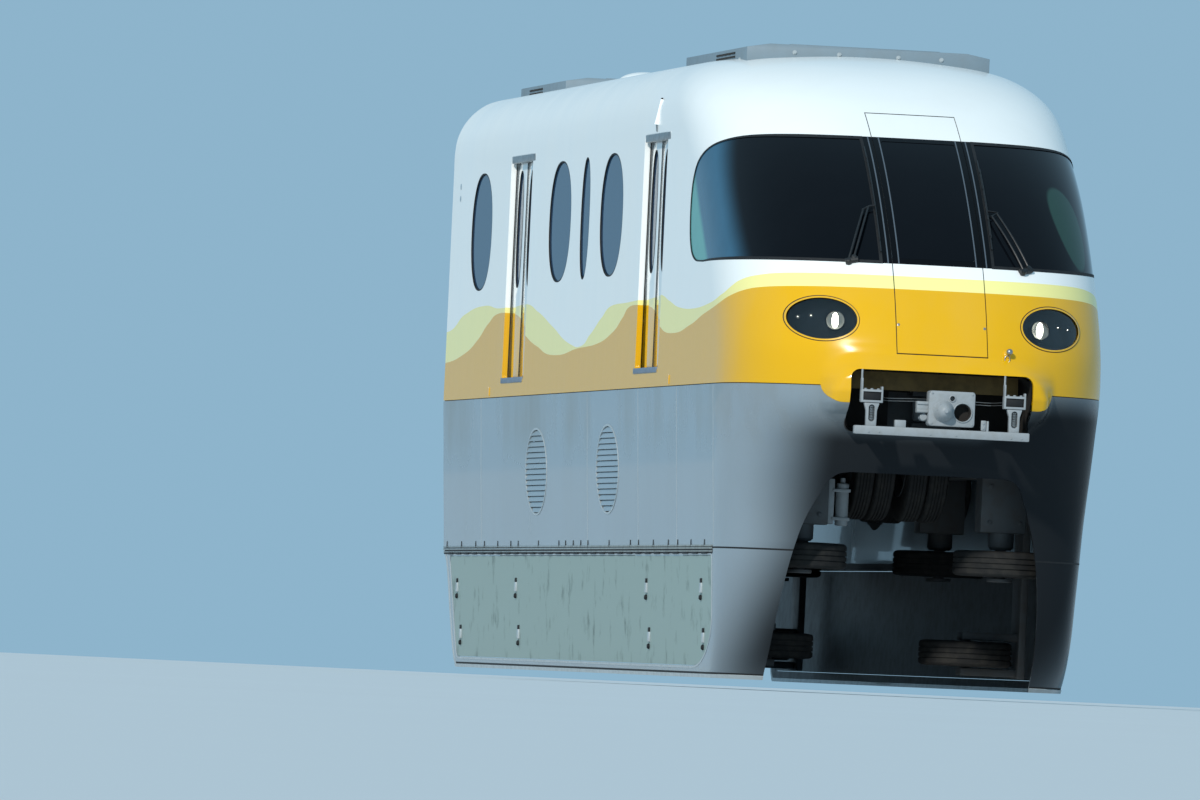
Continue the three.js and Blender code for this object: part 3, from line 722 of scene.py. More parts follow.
# Same enamel on the rail that the skirt panels clip under, grimy from hands and road film
RAIL = replace(RIM_GREY, name="grimy_rail_enamel", colour="#858C8A", stain="#3F3B30", stain_share=0.7)
# Threshold enamel: slate, scuffed by feet
SILL_GREY = Finish("slate_threshold_enamel", "#6F7F92", stain="#4D5763", stain_share=0.4, stain_mm=60,
                   roughness=0.45, grain_mm=5, relief_mm=0.03)
# Inside of the lamp housings: black, half matt
LAMP_WELL = Finish("black_lamp_well", "#0C0E10", stain="#16191C", stain_share=0.3, stain_mm=50,
                   roughness=0.35, grain_mm=8, relief_mm=0.03)
# Clear moulded lens: only its reflections show
LENS = Finish("polycarbonate_lamp_lens", "#C9D2D6", stain="#BFC8CC", stain_share=0.05, roughness=0.01,
              spread=0.02, relief_mm=0.0, transmission=1.0, ior=1.45)
# Black paint on the wipers and the seat stand: a slight gloss
BLACK_METAL = Finish("black_wiper_paint", "#111214", stain="#2B2C2D", stain_share=0.3, stain_mm=30,
                     roughness=0.4, grain_mm=4, relief_mm=0.02)
# Opal glass: soft white, faintly lit
LAMP_WHITE = Finish("opal_lamp_glass", "#FBFCFA", stain="#E7E8E3", stain_share=0.1, roughness=0.4,
                    glow=0.08, relief_mm=0.0)
# Unlit lens: grey with a gloss
MARKER = Finish("grey_marker_lens", "#8FA1AB", stain="#66747C", stain_share=0.3, stain_mm=15, roughness=0.25,
                coat=0.5, relief_mm=0.0)
# Ground stainless tube: bright, with fine streaks
STAINLESS = Finish("ground_stainless_tube", "#C9CCCE", stain="#8E9193", stain_share=0.2, stain_mm=50,
                   metallic=1.0, roughness=0.25, pattern=Pattern.BRUSHED, grain_mm=1, relief_mm=0.005)
# Leathercloth piping: dark blue, half matt
PIPING = Finish("leathercloth_seat_piping", "#1C2A4E", stain="#31436F", stain_share=0.3, stain_mm=20,
                roughness=0.5, grain_mm=2, relief_mm=0.03)
# Displays that are off: a black mirror
SCREEN = Finish("unlit_display_glass", "#07090B", stain="#15181B", stain_share=0.2, stain_mm=60,
                roughness=0.08, relief_mm=0.0)
# Studio floor: pale without gloss
FLOOR = Finish("pale_studio_floor", "#C9CFD2", stain="#BFC5C8", stain_share=0.1, stain_mm=4000, roughness=0.8,
               grain_mm=50, relief_mm=0.1)


def publish(form: Form, name: str, finish: Finish, body: str = BODY, replaces: Iterable[str] = (),
            slot: str | None = None, bevel: float = 0.0, crease: float = 32.0) -> bpy.types.Object:
    """Makes a form a finished piece that rides on a body.

    Args:
        form: the shape, in its place.
        name: the piece's name.
        finish: what it is made of.
        body: the body that it moves with.
        replaces: the frame's nodes that it stands for.
        slot: the record's material slot; not used.
        bevel: width of its rounded edges.
        crease: sharpest angle, in degrees, that is shaded smooth.

    Returns:
        The piece.
    """
    mesh = bpy.data.meshes.new(name)
    form.mesh.to_mesh(mesh)
    form.mesh.free()
    mesh.polygons.foreach_set("use_smooth", [True] * len(mesh.polygons))
    mesh.set_sharp_from_angle(angle=math.radians(crease))
    mesh.materials.append(finish.make())
    piece = set_up(name, mesh)
    if bevel:
        edge = piece.modifiers.new("edges", "BEVEL")
        edge.width, edge.segments, edge.limit_method = bevel, 2, "ANGLE"
        edge.angle_limit = math.radians(40)
        edge.harden_normals = True
    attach(piece, body)
    if replaces:
        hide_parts(*replaces)
    LOG.info("%s: %d faces", name, len(mesh.polygons))
    return piece


class Hull:
    """The smooth outer skin that every body panel is cut from."""

    # Height, front of the centreline, half width, where the side turns flat
    STATIONS = (
        (-1.28, -6.27, 1.384, -5.56), (-1.2, -6.33, 1.39, -5.64), (-1.05, -6.45, 1.397, -5.75),
        (-0.89, -6.545, 1.403, -5.81), (-0.57, -6.71, 1.416, -5.81), (-0.27, -6.8, 1.43, -5.81),
        (0.0, -6.87, 1.442, -5.81), (0.2, -6.97, 1.453, -5.81), (0.42, -7.12, 1.464, -5.81),
        (0.7, -7.29, 1.476, -5.81), (1.0, -7.41, 1.49, -5.81), (1.262, -7.42, 1.49, -5.79),
        (1.51, -7.33, 1.49, -5.68), (1.8, -7.175, 1.49, -5.46), (1.956, -7.07, 1.49, -5.33),
        (2.25, -6.815, 1.49, -5.06), (2.56, -6.49, 1.49, -4.71), (2.8, -6.19, 1.49, -4.33),
        (2.963, -5.95, 1.49, -4.03), (3.12, -5.69, 1.49, -3.74), (3.25, -5.44, 1.473, -3.51),
        (3.35, -5.21, 1.434, -3.32), (3.44, -4.965, 1.374, -3.1), (3.52, -4.69, 1.29, -2.85),
        (3.58, -4.42, 1.186, -2.6), (3.615, -4.21, 1.06, -2.45), (3.64, -4.02, 0.85, -2.35),
        (3.663, -3.78, 0.595, -2.25), (3.68, -3.48, 0.283, -2.15), (3.684, -3.2, 0.127, -2.1),
        (3.6855, -3.0, 0.0, -2.08),
    )
    # Height, front of the centreline, half width and width of the soft side of the coupler hood
    HOOD = ((0.64, -7.256, 0.68, 0.05), (0.66, -7.31, 0.71, 0.05), (0.72, -7.36, 0.775, 0.06),
            (0.79, -7.425, 0.845, 0.06), (0.81, -7.47, 0.862, 0.06), (0.87, -7.54, 0.888, 0.065),
            (0.96, -7.57, 0.9, 0.08), (1.06, -7.562, 0.9, 0.14), (1.13, -7.54, 0.88, 0.22),
            (1.19, -7.495, 0.84, 0.3), (1.25, -7.442, 0.8, 0.34), (1.32, -7.41, 0.78, 0.34))
    REAR = 7.42
    POWER = 2.6
    NOSE_STEPS = 72
    ROW_STEPS = 4

    def __init__(self) -> None:
        """Draws the sheet once, with the data that gives every panel its normals."""
        rows = smooth_rows(self.STATIONS, self.ROW_STEPS * 4)
        rows = [row for i, row in enumerate(rows) if i % 4 == 0 or 0.56 < row[0] < 1.4]
        form = Form.loft([[(x, y, height) for x, y in self.plan(height, front, max(half, 0), turn)]
                          for height, front, half, turn in rows])
        if form.facing(Vector((0, -9, 1))) < 0:
            bmesh.ops.reverse_faces(form.mesh, faces=form.mesh.faces)
        form.mesh.normal_update()
        form.mesh.faces.ensure_lookup_table()
        self.form = form
        self.tree = BVHTree.FromBMesh(form.mesh)

    def plan(self, height: float, front: float, half: float, turn: float) -> Outline:
        """Level section from the rear left round the nose to the rear right."""
        bend = 2 / self.POWER
        nose = []
        for i in range(-self.NOSE_STEPS, self.NOSE_STEPS + 1):
            t = (1 - abs(i) / self.NOSE_STEPS) * math.pi / 2
            x = math.copysign(half * math.cos(t) ** bend, -i) if i else 0.0
            y = turn - (turn - front) * math.sin(t) ** bend
            nose.append((x, y - self.bulge(x, height, front)))
        return [(half, self.REAR), *nose, (-half, self.REAR)]

    def bulge(self, x: float, height: float, front: float) -> float:
        """How far the coupler hood stands in front of the nose."""
        heights, fronts, halves, softs = np.array(self.HOOD).T
        if not heights[0] < height < heights[-1]:
            return 0.0
        out = max(front - np.interp(height, heights, fronts), 0.0)
        soft = np.interp(height, heights, softs)
        share = min(max((abs(x) - np.interp(height, heights, halves) + soft) / (1.25 * soft), 0.0), 1.0)
        return out * (1 - share * share * (3 - 2 * share))

    def plate(self, low: Point, high: Point, thickness: float, depth: float = 0.0) -> Form:
        """Closed plate of the skin inside a box.

        Args:
            low, high: the box's corners, with None where it is open.
            thickness: inwards from the plate's outer face.
            depth: of the outer face below the skin.

        Returns:
            The plate.
        """
        form = self.form.copy()
        if depth:
            form.mesh.normal_update()
            for vert, normal in [(v, v.normal.copy()) for v in form.mesh.verts]:
                vert.co -= normal * depth
        form.trimmed(low, high)
        form.mesh.normal_update()
        bmesh.ops.solidify(form.mesh, geom=form.mesh.faces[:], thickness=thickness)
        return form

    def inlay(self, low: Point, high: Point, thickness: float, depth: float, outer: Form,
              inner: Form | None = None) -> Form:
        """Plate inside one cutter and outside another.

        Args:
            low, high: a box round the plate, with None where it is open.
            thickness: inwards from the outer face.
            depth: of the outer face below the skin.
            outer: closed form that keeps what is inside it.
            inner: closed form that takes away what is inside it.

        Returns:
            The plate.
        """
        form = self.plate(low, high, thickness, depth).carved(outer, keep=True)
        return form.carved(inner) if inner else form

    def core(self, height: float, inset: float, low: float, high: float) -> Form:
        """Upright prism of the level section at a height, smaller all round by an inset."""
        heights, fronts, halves, turns = np.array(self.STATIONS).T
        values = (float(np.interp(height, heights, column)) for column in (fronts, halves, turns))
        rows = np.array(self.plan(height, *values))
        way = np.gradient(rows, axis=0)
        way /= np.linalg.norm(way, axis=1)[:, None]
        inner = rows - np.column_stack([-way[:, 1], way[:, 0]]) * inset
        return Form.prism(Axis.Z, [tuple(row) for row in inner], low, high)

    def front(self, x: float, z: float) -> Vector:
        """Point of the skin seen straight from the front."""
        return self.tree.ray_cast(Vector((x, -9, z)), Vector((0, 1, 0)))[0]

    def side(self, y: float, z: float) -> Vector:
        """Point of the skin seen straight from the left."""
        return self.tree.ray_cast(Vector((3, y, z)), Vector((-1, 0, 0)))[0]

    def normal(self, place: Vector) -> tuple[Vector, float]:
        """The skin's outward direction at the nearest point, and the distance to it."""
        spot, _, index, away = self.tree.find_nearest(place)
        face = self.form.mesh.faces[index]
        weights = poly_3d_calc([v.co for v in face.verts], spot)
        return sum((v.normal * w for v, w in zip(face.verts, weights)), Vector()).normalized(), away

    def shade(self, piece: bpy.types.Object, lining: Finish | None) -> None:
        """Gives a plate's outer faces the whole skin's normals, so that seams stay unseen.

        Args:
            piece: a piece cut from the skin.
            lining: the finish of its inner face, if it has another.
        """
        mesh = piece.data
        normals = [v.vector.copy() for v in mesh.corner_normals]
        if lining:
            mesh.materials.append(lining.make())
        for polygon in mesh.polygons:
            normal, _ = self.normal(polygon.center)
            facing = normal.dot(polygon.normal)
            if facing > 0.85:
                for corner in polygon.loop_indices:
                    place = mesh.vertices[mesh.loops[corner].vertex_index].co
                    normals[corner] = self.normal(place)[0]
            elif facing < -0.7 and lining:
                polygon.material_index = 1
        mesh.normals_split_custom_set(normals)

    def clad(self, *args: object, lining: Finish | None = None, **rest: object) -> None:
        """Publishes a plate of the skin with the whole skin's normals; takes publish's arguments."""
        self.shade(publish(*args, **rest), lining)


@dataclass
class BodyShell:
    """Nose skin, roof, upper side walls, lower sides, chin and windshields."""

    hull: Hull
    skin: float = 0.035
    fit: float = 0.0004
    nose_joint: float = -4.3
    chin_joint: float = -5.81
    seam: float = 1.0
    clip: float = -0.27
    eaves: float = 3.12
    screen_side: Outline = ((-7.7, 1.956), (-6.2, 1.956), (-5.4, 1.956), (-4.98, 1.957), (-4.75, 1.975),
                            (-4.59, 2.035), (-4.5, 2.14), (-4.46, 2.29), (-4.46, 2.45), (-4.5, 2.58),
                            (-4.61, 2.7), (-4.81, 2.81), (-4.98, 2.87), (-5.16, 2.91), (-5.36, 2.94),
                            (-5.62, 2.957), (-6.0, 2.963), (-6.6, 2.963), (-7.7, 2.963))
    pillar_in: float = 0.357
    pillar_out: float = 0.428
    lamp: tuple[float, float, float, float] = (0.895, 1.51, 0.259, 0.168)
    mouth: tuple[float, float, float] = (0.71, 0.655, 1.13)
    hood: tuple[float, float] = (0.905, 0.87)
    doorways: tuple[tuple[str, float, float], ...] = (("front", -2.755, 0.535), ("rear", 3.805, 0.555))
    door_top: float = 3.02
    floor: float = 1.13
    windows: tuple[tuple[float, float], ...] = ((-0.77, 0.54), (0.51, 0.215), (1.75, 0.54), (5.78, 0.54))
    window_z: float = 2.415
    window_rise: float = 0.5
    vents: tuple[float, ...] = (2.54, -0.97)
    # Height, half length and half height of each oval vent
    vent: tuple[float, float, float] = (0.362, 0.525, 0.35)
    arch: Outline = ((0.6, 0.345), (0.69, 0.325), (0.75, 0.27), (0.79, 0.19), (0.84, 0.085), (0.905, -0.09),
                     (0.95, -0.27), (1.0, -0.57), (1.03, -0.89), (1.045, -1.2), (1.05, -1.5))

    def screen_cut(self, sign: int, inset: float = 0.0, reach: float = 1.6) -> Form:
        """Prism through one side's windshield opening, smaller all round by an inset."""
        rows = smooth_rows(self.screen_side[2:-2], 3)
        centre = np.array((-5.9, 2.46))
        away = rows - centre
        rows = rows - away / np.linalg.norm(away, axis=1)[:, None] * inset
        low, high = self.screen_side[0][1] + inset, self.screen_side[-1][1] - inset
        outline = [(-7.7, low), (-6.2, low), *map(tuple, rows), (-6.6, high), (-7.7, high)]
        edges = sorted((sign * (self.pillar_out + inset), sign * reach))
        return Form.prism(Axis.X, outline, *edges)

    def lamp_cut(self, sign: int, spare: float) -> Form:
        """Prism through a headlamp's opening, larger all round by a spare width."""
        x, z, half, rise = self.lamp
        return Form.prism(Axis.Y, oval(sign * x, z, half + spare, rise + spare, 72), AHEAD, -6.6)

    def vent_cut(self, y: float, spare: float = 0.0, reach: Point = WALL_CUT, steps: int = 72) -> Form:
        """Prism through a vent's opening, larger all round by a spare width."""
        z, half, rise = self.vent
        return Form.prism(Axis.X, oval(y, z, half + spare, rise + spare, steps), *reach)

    def arch_cut(self) -> Form:
        """Prism through the arch over the beam."""
        right = [tuple(row) for row in smooth_rows(self.arch, 4)]
        outline = [*right, *((-a, b) for a, b in reversed(right))]
        return Form.prism(Axis.Y, outline, AHEAD, -5.0)

    def mouth_cut(self) -> Form:
        """Prism through the coupler mouth."""
        half, low, high = self.mouth
        return Form.prism(Axis.Y, rounded(-half, half, low, high, 0.07), AHEAD, -6.2)

    def build_nose(self) -> None:
        """Yellow and white nose skin with its openings, and the hood's yellow lower part."""
        nose = self.hull.plate((None, None, self.seam + self.fit), (None, self.nose_joint, None), self.skin)
        nose.carved(self.screen_cut(1), self.screen_cut(-1), self.mouth_cut(),
                    Form.block((-self.pillar_in, -8, 1.2575), (self.pillar_in, -5, 3.161)))
        nose.carved(self.lamp_cut(1, 0.0035), self.lamp_cut(-1, 0.0035))
        self.hull.clad(nose, "nose_skin", LIVERY, replaces=["nose_shell"], slot="body_yellow", lining=LINING)
        hood = self.hull.plate((None, None, 0.79), (None, -6.6, self.seam + self.fit), self.skin)
        hood.carved(self.hood_cut(0.0), keep=True).carved(self.mouth_cut())
        # The hood's inner face is painted dark for the shade inside it
        self.hull.clad(hood, "hood_skin", LIVERY, slot="body_yellow", lining=RECESS_SHADE)

    def hood_cut(self, spare: float) -> Form:
        """Prism round the yellow lower part of the coupler hood, larger by a spare width."""
        half, low = self.hood
        return Form.prism(Axis.Y, rounded(-half - spare, half + spare, low - spare, 1.4, 0.15), AHEAD, -6.2)

    def build_roof(self) -> None:
        """White roof skin."""
        joint = self.nose_joint + self.fit
        roof = self.hull.plate((None, joint, self.eaves), (None, None, None), self.skin)
        self.hull.clad(roof, "roof_skin", LIVERY, replaces=["roof"], slot="body_white", lining=LINING)

    def build_sides(self) -> None:
        """Upper side walls with doorways and windows, and the lower sides with vent openings."""
        for side, sign in SIDES.items():
            low, high = (0, self.nose_joint + self.fit, self.seam + self.fit), (None, None, self.eaves)
            wall = self.hull.plate(low, high, self.skin)
            holes = [rounded(seam - half, seam + half, self.floor, self.door_top, 0.06)
                     for _, seam, half in self.doorways]
            cuts = [Form.prism(Axis.X, hole, *WALL_CUT) for hole in holes]
            cuts += [Form.prism(Axis.X, oval(y, self.window_z, half, self.window_rise, 96, 2.3), *WALL_CUT)
                     for y, half in self.windows]
            wall.carved(*cuts)
            low, high = (0, self.chin_joint + self.fit, self.clip), (None, None, self.seam - 0.006)
            lower = self.hull.plate(low, high, self.skin)
            lower.carved(*(self.vent_cut(y) for y in self.vents))
            self.hull.clad(wall.on(sign), f"side_skin_{side}", LIVERY, replaces=[f"side_wall_{side}"],
                           slot="body_white", lining=LINING)
            self.hull.clad(lower.on(sign), f"lower_skin_{side}", GREY, replaces=[f"lower_side_{side}"],
                           slot="body_grey")

    def build_chin(self) -> None:
        """Grey chin with the arch over the beam and the lower edge of the mouth."""
        chin = self.hull.plate((None, None, self.clip), (None, self.chin_joint, self.seam - 0.006), self.skin)
        chin.carved(self.arch_cut(), self.hood_cut(0.0008))
        chin.carved(self.mouth_cut())
        self.hull.clad(chin, "chin_skin", GREY, replaces=["chin"], slot="body_grey")

    def build_glass(self) -> None:
        """Wrap-round windshields with their black seals."""
        box = ((None, None, 1.9), (None, -4.4, 3.0))
        for side, sign in SIDES.items():
            pane = self.hull.plate(*box, 0.008, 0.004).carved(self.screen_cut(sign, 0.003), keep=True)
            self.hull.clad(pane, f"windshield_pane_{side}", GLASS, replaces=[f"windshield_{side}"],
                           slot="dark_glass")
            seal = self.hull.plate(*box, 0.014, -0.0015).carved(self.screen_cut(sign, -0.002), keep=True)
            seal.carved(self.screen_cut(sign, 0.022, 1.7))
            self.hull.clad(seal, f"windshield_seal_{side}", RUBBER)

    def build(self) -> None:
        """Builds every shell panel."""
        self.build_nose()
        self.build_roof()
        self.build_sides()
        self.build_chin()
        self.build_glass()


@dataclass
class FrontEnd:
    """Coupler mouth, escape door, pillars, headlamps, wipers and tow ball on the nose."""

    hull: Hull
    shell: BodyShell
    door: tuple[float, float, float] = (0.35, 1.267, 3.1547)
    door_pane: tuple[float, float, float] = (0.3, 2.0, 2.93)
    pillar_lines: tuple[float, ...] = (0.303, 0.385)
    # Each wiper's root, elbow, and its blade's place with lower and upper end
    wipers: tuple[tuple[Point, Point, Point], ...] = (
        ((-0.66, 1.962), (-0.51, 2.358), (-0.432, 2.04, 2.87)),
        ((0.695, 1.945), (0.491, 2.357), (0.442, 2.1, 2.8)))

    def build_mouth(self) -> None:
        """Inside of the coupler mouth, painted dark for shade, with its upper panel painted brown for shade.
        """
        half, low, high = self.shell.mouth
        frame = rounded(-half - 0.004, half + 0.004, low - 0.004, high + 0.004, 0.07)
        tube = Form.ring(Axis.Y, frame, rounded(-half + 0.004, half - 0.004, low + 0.004, high - 0.004, 0.07),
                         -7.56, -6.72)
        cheeks = tube.copy().trimmed((None, -7.42, 0.86), (None, -7.3, 1.1))
        # The tunnel, and the back panel below, are painted dark for the shade inside the mouth
        publish(tube.trimmed((None, -7.3, None), (None, None, None)).plus(cheeks), "mouth_tunnel", RECESS_SHADE)
        # Upper panel: the yellow lining painted brown for the shade inside the mouth
        lid = Form.block((-0.66, -7.12, 0.985), (0.66, -7.1, 1.125), 0.004)
        for x in (-0.4, -0.05, 0.32):
            lid.plus(Form.block((x - 0.004, -7.124, 0.985), (x + 0.004, -7.12, 1.125)))
        publish(lid, "mouth_upper_panel", MOUTH_SHADE_BROWN)
        back = Form.block((-0.706, -6.75, 0.66), (0.706, -6.735, 1.125))
        publish(back.carved(Form.block((-0.28, -6.8, 0.68), (0.3, -6.7, 0.98))), "mouth_back_panel", RECESS_SHADE)

    def build_door(self) -> None:
        """Escape door with its pane, the dark gap round it and the slim pillar lines."""
        half, low, high = self.door
        pane_half, pane_low, pane_high = self.door_pane
        leaf = self.hull.plate((-half, None, low), (half, -5.4, high), 0.03)
        leaf.carved(Form.prism(Axis.Y, rounded(-pane_half, pane_half, pane_low, pane_high, 0.03), AHEAD,
                               -5.0))
        self.hull.clad(leaf, "escape_door", LIVERY, "front_door", ["front_door"], "body_yellow",
                       lining=PLASTIC)
        pane = self.hull.plate((-pane_half + 0.001, None, pane_low + 0.001),
                               (pane_half - 0.001, -5.4, pane_high - 0.001),
                               0.008, 0.003)
        self.hull.clad(pane, "escape_door_pane", GLASS, "front_door", ["front_door_glass"], "dark_glass")
        gap = self.hull.plate((-half - 0.0055, None, low - 0.009), (half + 0.0055, -5.2, high + 0.0045),
                              0.014, 0.006)
        gap.carved(Form.block((-half - 0.0005, -8, low - 0.0005), (half + 0.0005, -5, high + 0.0005)))
        self.hull.clad(gap, "escape_door_gap", RUBBER)
        band = self.hull.plate((-half - 0.0004, None, 1.957), (half + 0.0004, -5.4, 2.9625), 0.02, -0.0006)
        band.carved(Form.prism(Axis.Y, rounded(-pane_half, pane_half, pane_low, pane_high, 0.03), AHEAD,
                               -5.0))
        self.hull.clad(band, "escape_door_band", BAND, "front_door")
        sides, trims = Form(), {"front_door": Form(), BODY: Form()}
        for sign in (-1, 1):
            edges = sorted((sign * 0.3566, sign * 0.4285))
            sides.plus(self.hull.plate((edges[0], None, 1.957), (edges[1], -5.4, 2.9625), 0.02, -0.0006))
            for x in self.pillar_lines:
                edges = sorted((sign * (x - 0.005), sign * (x + 0.005)))
                trims["front_door" if x < half else BODY].plus(
                    self.hull.plate((edges[0], None, 1.96), (edges[1], -5.4, 2.96), 0.002, -0.0018))
        self.hull.clad(sides, "pillar_bands", BAND)
        for body, form in trims.items():
            publish(form, f"edge_trims_{body}", TRIM, body)
        catches = Form()
        for x in (-0.336, 0.336):
            spot = self.hull.front(x, 1.485)
            normal, _ = self.hull.normal(spot)
            rows = ((0, -0.01), (0.011, -0.01), (0.011, 0.0015), (0.008, 0.0025), (0, 0.0025))
            catches.plus(Form.turned(rows, spot, normal, 16))
        publish(catches, "escape_door_catches", ZINC, "front_door")

    def build_lamps(self) -> None:
        """Headlamps: lens, dark well, smoked bowls with bulbs, and a raised lip in a dark groove."""
        x0, z0, _, _ = self.shell.lamp
        for side, sign in SIDES.items():
            band = ((min(sign * 0.3, sign * 1.4), None, 1.2), (max(sign * 0.3, sign * 1.4), -6.6, 1.8))
            lip = self.hull.inlay(*band, 0.0105, -0.007, self.shell.lamp_cut(sign, 0.004),
                                  self.shell.lamp_cut(sign, -0.009))
            publish(lip, f"headlamp_lip_{side}", YELLOW, slot="body_yellow", crease=50)
            edge = self.hull.inlay(*band, 0.01, -0.0006, self.shell.lamp_cut(sign, 0.0105),
                                   self.shell.lamp_cut(sign, 0.0038))
            publish(edge, f"headlamp_groove_{side}", RUBBER)
            wall = self.hull.inlay(*band, 0.085, 0.004, self.shell.lamp_cut(sign, 0.003),
                                   self.shell.lamp_cut(sign, -0.003))
            well = self.hull.inlay(*band, 0.004, 0.085, self.shell.lamp_cut(sign, 0.003))
            publish(wall.plus(well), f"headlamp_well_{side}", LAMP_WELL)
            lens = self.hull.inlay(*band, 0.005, 0.002, self.shell.lamp_cut(sign, -0.001))
            self.hull.clad(lens, f"headlamp_lens_{side}", LENS, replaces=[f"headlamp_{side}"],
                           slot="dark_glass")
            bowls, bulbs = Form(), Form()
            for away, up, radius in ((-0.09, -0.01, 0.07), (0.081, 0.027, 0.016), (0.172, 0.014, 0.016)):
                spot = self.hull.front(sign * (x0 + away), z0 + up)
                axis = (self.hull.normal(spot)[0] + Vector((0, -1.6, 0))).normalized()
                centre = spot - axis * 0.045
                curve = [(radius * s, radius * 0.75 * s * s - radius * 0.4)
                         for s in (0, .25, .5, .75, .92, 1)]
                rim = [(radius * 1.06, radius * 0.36), (radius * 1.06, -radius * 0.42), (0, -radius * 0.5)]
                bowls.plus(Form.turned([*curve, *rim], centre, axis, 32))
                size, tall = (0.026, 2.4) if away < 0 else (0.0025, 1.0)
                glow = [(size * math.sin(t), size * (1 - math.cos(t)) - radius * 0.3)
                        for t in (math.pi * i / 8 for i in range(9))]
                bulb = Form.turned(glow, centre, axis, 20)
                stretch = Matrix.Diagonal((1, 1, tall, 1))
                bulbs.plus(bulb.placed(Matrix.Translation(centre) @ stretch @ Matrix.Translation(-centre)))
            publish(bowls, f"headlamp_bowls_{side}", REFLECTOR)
            publish(bulbs, f"headlamp_bulb_{side}", LAMP)

    def over(self, x: float, z: float, gap: float) -> Vector:
        """Point a gap in front of the skin, seen straight from the front."""
        spot = self.hull.front(x, z)
        return spot + self.hull.normal(spot)[0] * gap

    def build_wipers(self) -> None:
        """Pivot blocks, twin arms, links and upright blades on both windshields."""
        form = Form()
        for (x0, z0), (x1, z1), (xb, low, high) in self.wipers:
            for dx, dz in ((-0.02, -0.012), (0.022, 0.016)):
                arm = [self.over(x0 + dx + (x1 - x0) * s, z0 + dz + (z1 - z0) * s,
                                 0.03 + 0.012 * math.sin(math.pi * s)) for s in np.linspace(0, 1, 9)]
                form.plus(Form.sweep(arm, 0.009))
                root = self.over(x0 + dx, z0 + dz, 0)
                block = ((0, -0.02), (0.024, -0.02), (0.026, 0.02), (0.018, 0.04), (0, 0.044))
                form.plus(Form.turned(block, root, self.hull.normal(root)[0], 24))
            form.plus(Form.sweep([self.over(x0 - 0.045, z0 - 0.012, 0.012), self.over(x0, z0, 0.014),
                                  self.over(x0 + 0.05, z0 + 0.01, 0.012)], 0.025, 10))
            middle = (low + high) / 2
            form.plus(Form.sweep([self.over(x1 - 0.03, z1 - 0.014, 0.032),
                                  self.over(x1 + 0.03, z1 + 0.02, 0.032),
                                  self.over(xb, z1 + 0.03, 0.03)], 0.008))
            blade = [self.over(xb, z, 0.009) for z in np.linspace(low, high, 14)]
            spine = [self.over(xb, z, 0.026) for z in np.linspace(low + 0.08, high - 0.08, 10)]
            form.plus(Form.sweep(blade, 0.0065, 6), Form.sweep(spine, 0.0045, 6))
            for z in (low + 0.1, middle - 0.12, middle + 0.12, high - 0.1):
                form.plus(Form.rod(self.over(xb, z, 0.006), self.over(xb, z, 0.03), 0.006, 8))
        publish(form, "windshield_wipers", BLACK_METAL)

    def build_loop(self) -> None:
        """Steel tow ball with its hanging ring, beside the escape door."""
        spot = self.hull.front(0.512, 1.297)
        normal, _ = self.hull.normal(spot)
        seat = ((0, -0.02), (0.034, -0.02), (0.034, 0.004), (0.026, 0.012), (0, 0.012))
        publish(Form.turned(seat, spot, normal), "tow_ball_seat", YELLOW, crease=50)
        ball = [(0.012, 0.0), (0.012, 0.025), *((0.025 * math.sin(t), 0.046 - 0.025 * math.cos(t))
                                                for t in (math.pi * i / 10 for i in range(2, 11)))]
        form = Form.turned([(0, 0), *ball], spot, normal, 24)
        low = spot + normal * 0.03 + Vector((-0.01, 0, -0.05))
        ring = [low + Vector((math.cos(t) * 0.02, 0, math.sin(t) * 0.028))
                for t in np.linspace(0, math.tau, 17)]
        publish(form.plus(Form.sweep(ring, 0.003)), "tow_ball", ZINC)

    def build(self) -> None:
        """Builds everything on the nose."""
        self.build_mouth()
        self.build_door()
        self.build_lamps()
        self.build_wipers()
        self.build_loop()


